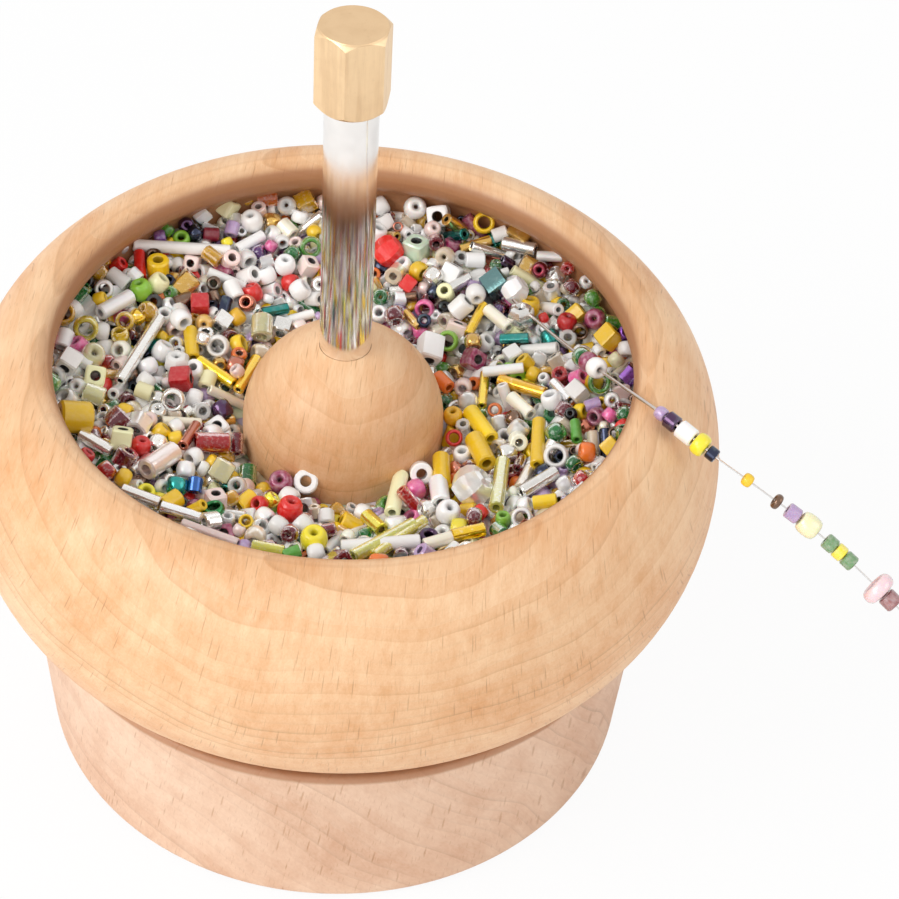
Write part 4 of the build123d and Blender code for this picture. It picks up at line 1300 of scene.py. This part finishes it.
class SPINNER_OT_wood(bpy.types.Operator):
    """Finish the bowl and the base in beech"""

    bl_idname = "spinner.wood"
    bl_label = "Beech"

    def execute(self, context):
        wood = context.scene.spinner_wood
        bowl = beech("bowl_beech", BOWL_CUT, tuple(wood.pale), tuple(wood.warm), wood)
        base = beech("base_beech", BASE_CUT, tuple(wood.base_pale), tuple(wood.base_warm), wood)
        frame["nodes"]["bowl"].material_slots[0].material = bowl
        frame["nodes"]["base_block"].material_slots[0].material = base
        return {"FINISHED"}


class SPINNER_OT_metal(bpy.types.Operator):
    """Finish the spindle, the cap, the bearings and the needle"""

    bl_idname = "spinner.metal"
    bl_label = "Steel and brass"

    def execute(self, context):
        settings = context.scene.spinner_metal
        nodes = frame["nodes"]
        steel = metal("polished_steel", tuple(settings.steel), 0.06, 0.08, 0.000008, (2.6, 2.6, 0.10))
        ground = turned_metal("ground_steel", tuple(settings.bearing), 0.16, 0.10, 0.00001)
        pressed = turned_metal("pressed_steel", tuple(settings.shield), 0.30, 0.14, 0.00002, 3.0)
        crown = turned_metal("cage_steel", tuple(settings.cage), 0.26, 0.12, 0.00002, 3.0)
        zinc = turned_metal("zinc_plate", tuple(settings.zinc), 0.24, 0.16, 0.00002, 4.0)
        screw = metal("screw_steel", tuple(settings.screw), 0.26, 0.16, 0.00002, (3.0, 3.0, 3.0))
        wire = metal("needle_wire", tuple(settings.wire), 0.16, 0.12, 0.00001, (4.0, 4.0, 4.0))
        finishes = {"spindle_rod": steel, "hex_cap": brass(settings), "spacer_ring": zinc,
                    "inner_sleeve": zinc, "retaining_washer": zinc, "retaining_screw": screw,
                    "needle": wire}
        for side in ("upper", "lower"):
            finishes.update({side + "_outer_ring": ground, side + "_inner_ring": ground,
                             side + "_balls": ground, side + "_cage": crown,
                             side + "_shields": pressed})
        for node, material in finishes.items():
            nodes[node].material_slots[0].material = material
        edge = nodes["hex_cap"].modifiers.new("Edge", "BEVEL")
        edge.width = settings.cap_bevel
        edge.segments = 3
        edge.limit_method = "ANGLE"
        edge.angle_limit = math.radians(25)
        return {"FINISHED"}


class SPINNER_OT_beads(bpy.types.Operator):
    """Fill the hollow with loose beads"""

    bl_idname = "spinner.beads"
    bl_label = "Loose beads"

    def execute(self, context):
        scene = context.scene
        settings = scene.spinner_beads
        draw = random.Random(settings.seed)
        beads = placed_beads(scene.spinner_stage, draw) + loose_beads(settings, draw)
        settle(beads, strand_barriers(), settings)
        kept = []
        for bead in beads:
            flat = math.hypot(bead.centre[0], bead.centre[1])
            depth = float(bed_height(flat)) - bead.centre[2]
            if bead.placed or -KEPT_PROUD < depth < KEPT_SUNK:
                kept.append(bead)
        materials = bead_finishes()
        lining = silver_lining()
        groups = {}
        for bead in kept:
            crisp = "cut" if STYLES[bead.style].crisp else "round"
            groups.setdefault((bead.finish, crisp), []).append(bead)
        bed = deep_bed(settings)
        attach(bed, "spinner")
        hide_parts(*LOAD_NODES)
        for (finish, crisp), members in sorted(groups.items()):
            surfaces = [materials[finish]] + ([lining] if finish == "lined" else [])
            piece = bead_group("loose_beads_" + finish + "_" + crisp, members, surfaces, "spinner")
            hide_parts(*LOAD_NODES)
        return {"FINISHED"}


class SPINNER_OT_strand(bpy.types.Operator):
    """Thread and the beads strung on the needle and on the thread"""

    bl_idname = "spinner.strand"
    bl_label = "Strand"

    def execute(self, context):
        settings = context.scene.spinner_strand
        draw = random.Random(STRAND_SEED)
        thread = smooth_curve("thread_line", thread_route())
        along_thread = line_points(thread)
        needle_line = smooth_curve("needle_line", NEEDLE_ROUTE)
        along_needle = line_points(needle_line)[::-1]
        bpy.data.objects.remove(needle_line)
        clear = Finish("clear_nylon", Transmission_Weight=0.95, IOR=1.35)
        soft = clear.noise(clear.place(), 2.0, 2.0)
        colour = clear.mix(soft, (1.0, 1.0, 0.99), (0.94, 0.94, 0.95))
        clear.paint(Base_Color=colour, Roughness=0.04 + soft * 0.06)
        thread.data.bevel_depth = settings.thread_diameter / 2
        thread.data.bevel_resolution = 3
        thread.data.materials.append(clear.material)
        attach(thread, "spinner")
        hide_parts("thread")
        frame["nodes"]["thread_knot"].material_slots[0].material = clear.material
        materials = bead_finishes()
        for node, spots, strand in (("needle_beads", along_needle, NEEDLE_STRAND),
                                    ("thread_beads", along_thread, THREAD_STRAND)):
            for index, bead in enumerate(strung(spots, strand, draw)):
                name = "strung_" + node.split("_")[0] + "_bead_" + str(index + 1)
                piece = bead_group(name, [bead], [materials[bead.finish]], "spinner")
                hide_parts(node)
        return {"FINISHED"}


class SPINNER_OT_stage(bpy.types.Operator):
    """Camera, floor and soft studio lamps"""

    bl_idname = "spinner.stage"
    bl_label = "Stage"

    def execute(self, context):
        scene = context.scene
        stage = scene.spinner_stage
        camera = new_piece("camera", bpy.data.cameras.new("camera"))
        camera.matrix_world = camera_matrix(stage)
        camera.data.lens = stage.lens
        camera.data.sensor_width = SENSOR
        camera.data.clip_start = 0.01
        scene.camera = camera
        self.floor(stage)
        for name, place, size, colour in LAMPS:
            self.lamp(name, place, size, getattr(stage, name + "_power"), colour)
        self.studio(scene, stage)
        scene.view_settings.view_transform = "Standard"
        return {"FINISHED"}

    def studio(self, scene, stage):
        """Even light from all round. What mirrors it or lets it through sees plain white."""
        world = bpy.data.worlds.new("studio")
        scene.world = world
        world.use_nodes = True
        nodes = world.node_tree.nodes
        links = world.node_tree.links
        light = nodes["Background"]
        light.inputs["Color"].default_value = (1, 1, 1, 1)
        path = nodes.new("ShaderNodeLightPath")
        seen = path.outputs["Is Camera Ray"]
        for kind in ("Is Glossy Ray", "Is Transmission Ray"):
            either = nodes.new("ShaderNodeMath")
            either.operation = "MAXIMUM"
            links.new(seen, either.inputs[0])
            links.new(path.outputs[kind], either.inputs[1])
            seen = either.outputs[0]
        strength = nodes.new("ShaderNodeMapRange")
        links.new(seen, strength.inputs["Value"])
        strength.inputs["To Min"].default_value = stage.sky
        strength.inputs["To Max"].default_value = 1.0
        links.new(strength.outputs["Result"], light.inputs["Strength"])

    def floor(self, stage):
        mesh = bpy.data.meshes.new("floor")
        reach = 3.0
        corners = [(-reach, -reach, 0), (reach, -reach, 0), (reach, reach, 0), (-reach, reach, 0)]
        mesh.from_pydata(corners, [], [(0, 1, 2, 3)])
        floor = new_piece("floor", mesh)
        finish = Finish("floor", Base_Color=tuple(stage.floor_colour), Roughness=0.9,
                        Specular_IOR_Level=0.1)
        white = finish.add("ShaderNodeEmission", {}, {"Color": (1, 1, 1)}, 0)
        seen = finish.add("ShaderNodeLightPath", {}, {}, "Is Camera Ray")
        shader = Signal(finish, finish.shader.outputs[0])
        both = finish.add("ShaderNodeMixShader", {}, {0: seen * stage.floor_glow, 1: shader, 2: white}, 0)
        finish.feed(finish.tree.nodes["Material Output"].inputs["Surface"], both)
        mesh.materials.append(finish.material)

    def lamp(self, name, place, size, power, colour):
        light = bpy.data.lights.new(name, "AREA")
        light.shape = "DISK"
        light.size = size
        light.energy = power
        light.color = colour
        lamp = new_piece(name, light)
        lamp.location = place
        lamp.rotation_euler = (Vector(place) - LAMP_TARGET).to_track_quat("Z", "Y").to_euler()


class SPINNER_PT_sidebar(bpy.types.Panel):
    """Steps that dress the bead spinner"""

    bl_idname = "SPINNER_PT_sidebar"
    bl_label = "Bead spinner"
    bl_space_type = "VIEW_3D"
    bl_region_type = "UI"
    bl_category = "Bead spinner"

    def draw(self, context):
        for operator in OPERATORS:
            self.layout.operator(operator.bl_idname)
        for name in GROUPS:
            settings = getattr(context.scene, name)
            for key in settings.__annotations__:
                self.layout.prop(settings, key)


GROUPS = {"spinner_stage": SpinnerStage, "spinner_wood": SpinnerWood, "spinner_metal": SpinnerMetal,
          "spinner_beads": SpinnerBeads, "spinner_strand": SpinnerStrand}
OPERATORS = [SPINNER_OT_stage, SPINNER_OT_strand, SPINNER_OT_wood, SPINNER_OT_metal, SPINNER_OT_beads]
CLASSES = [*GROUPS.values(), *OPERATORS, SPINNER_PT_sidebar]


def register():
    for each in CLASSES:
        bpy.utils.register_class(each)
    for name, group in GROUPS.items():
        setattr(bpy.types.Scene, name, PointerProperty(type=group))


def unregister():
    for name in GROUPS:
        delattr(bpy.types.Scene, name)
    for each in reversed(CLASSES):
        bpy.utils.unregister_class(each)


def main():
    register()
    bpy.ops.spinner.stage()
    bpy.ops.spinner.strand()
    bpy.ops.spinner.wood()
    bpy.ops.spinner.metal()
    bpy.ops.spinner.beads()


if __name__ == "__main__":
    main()
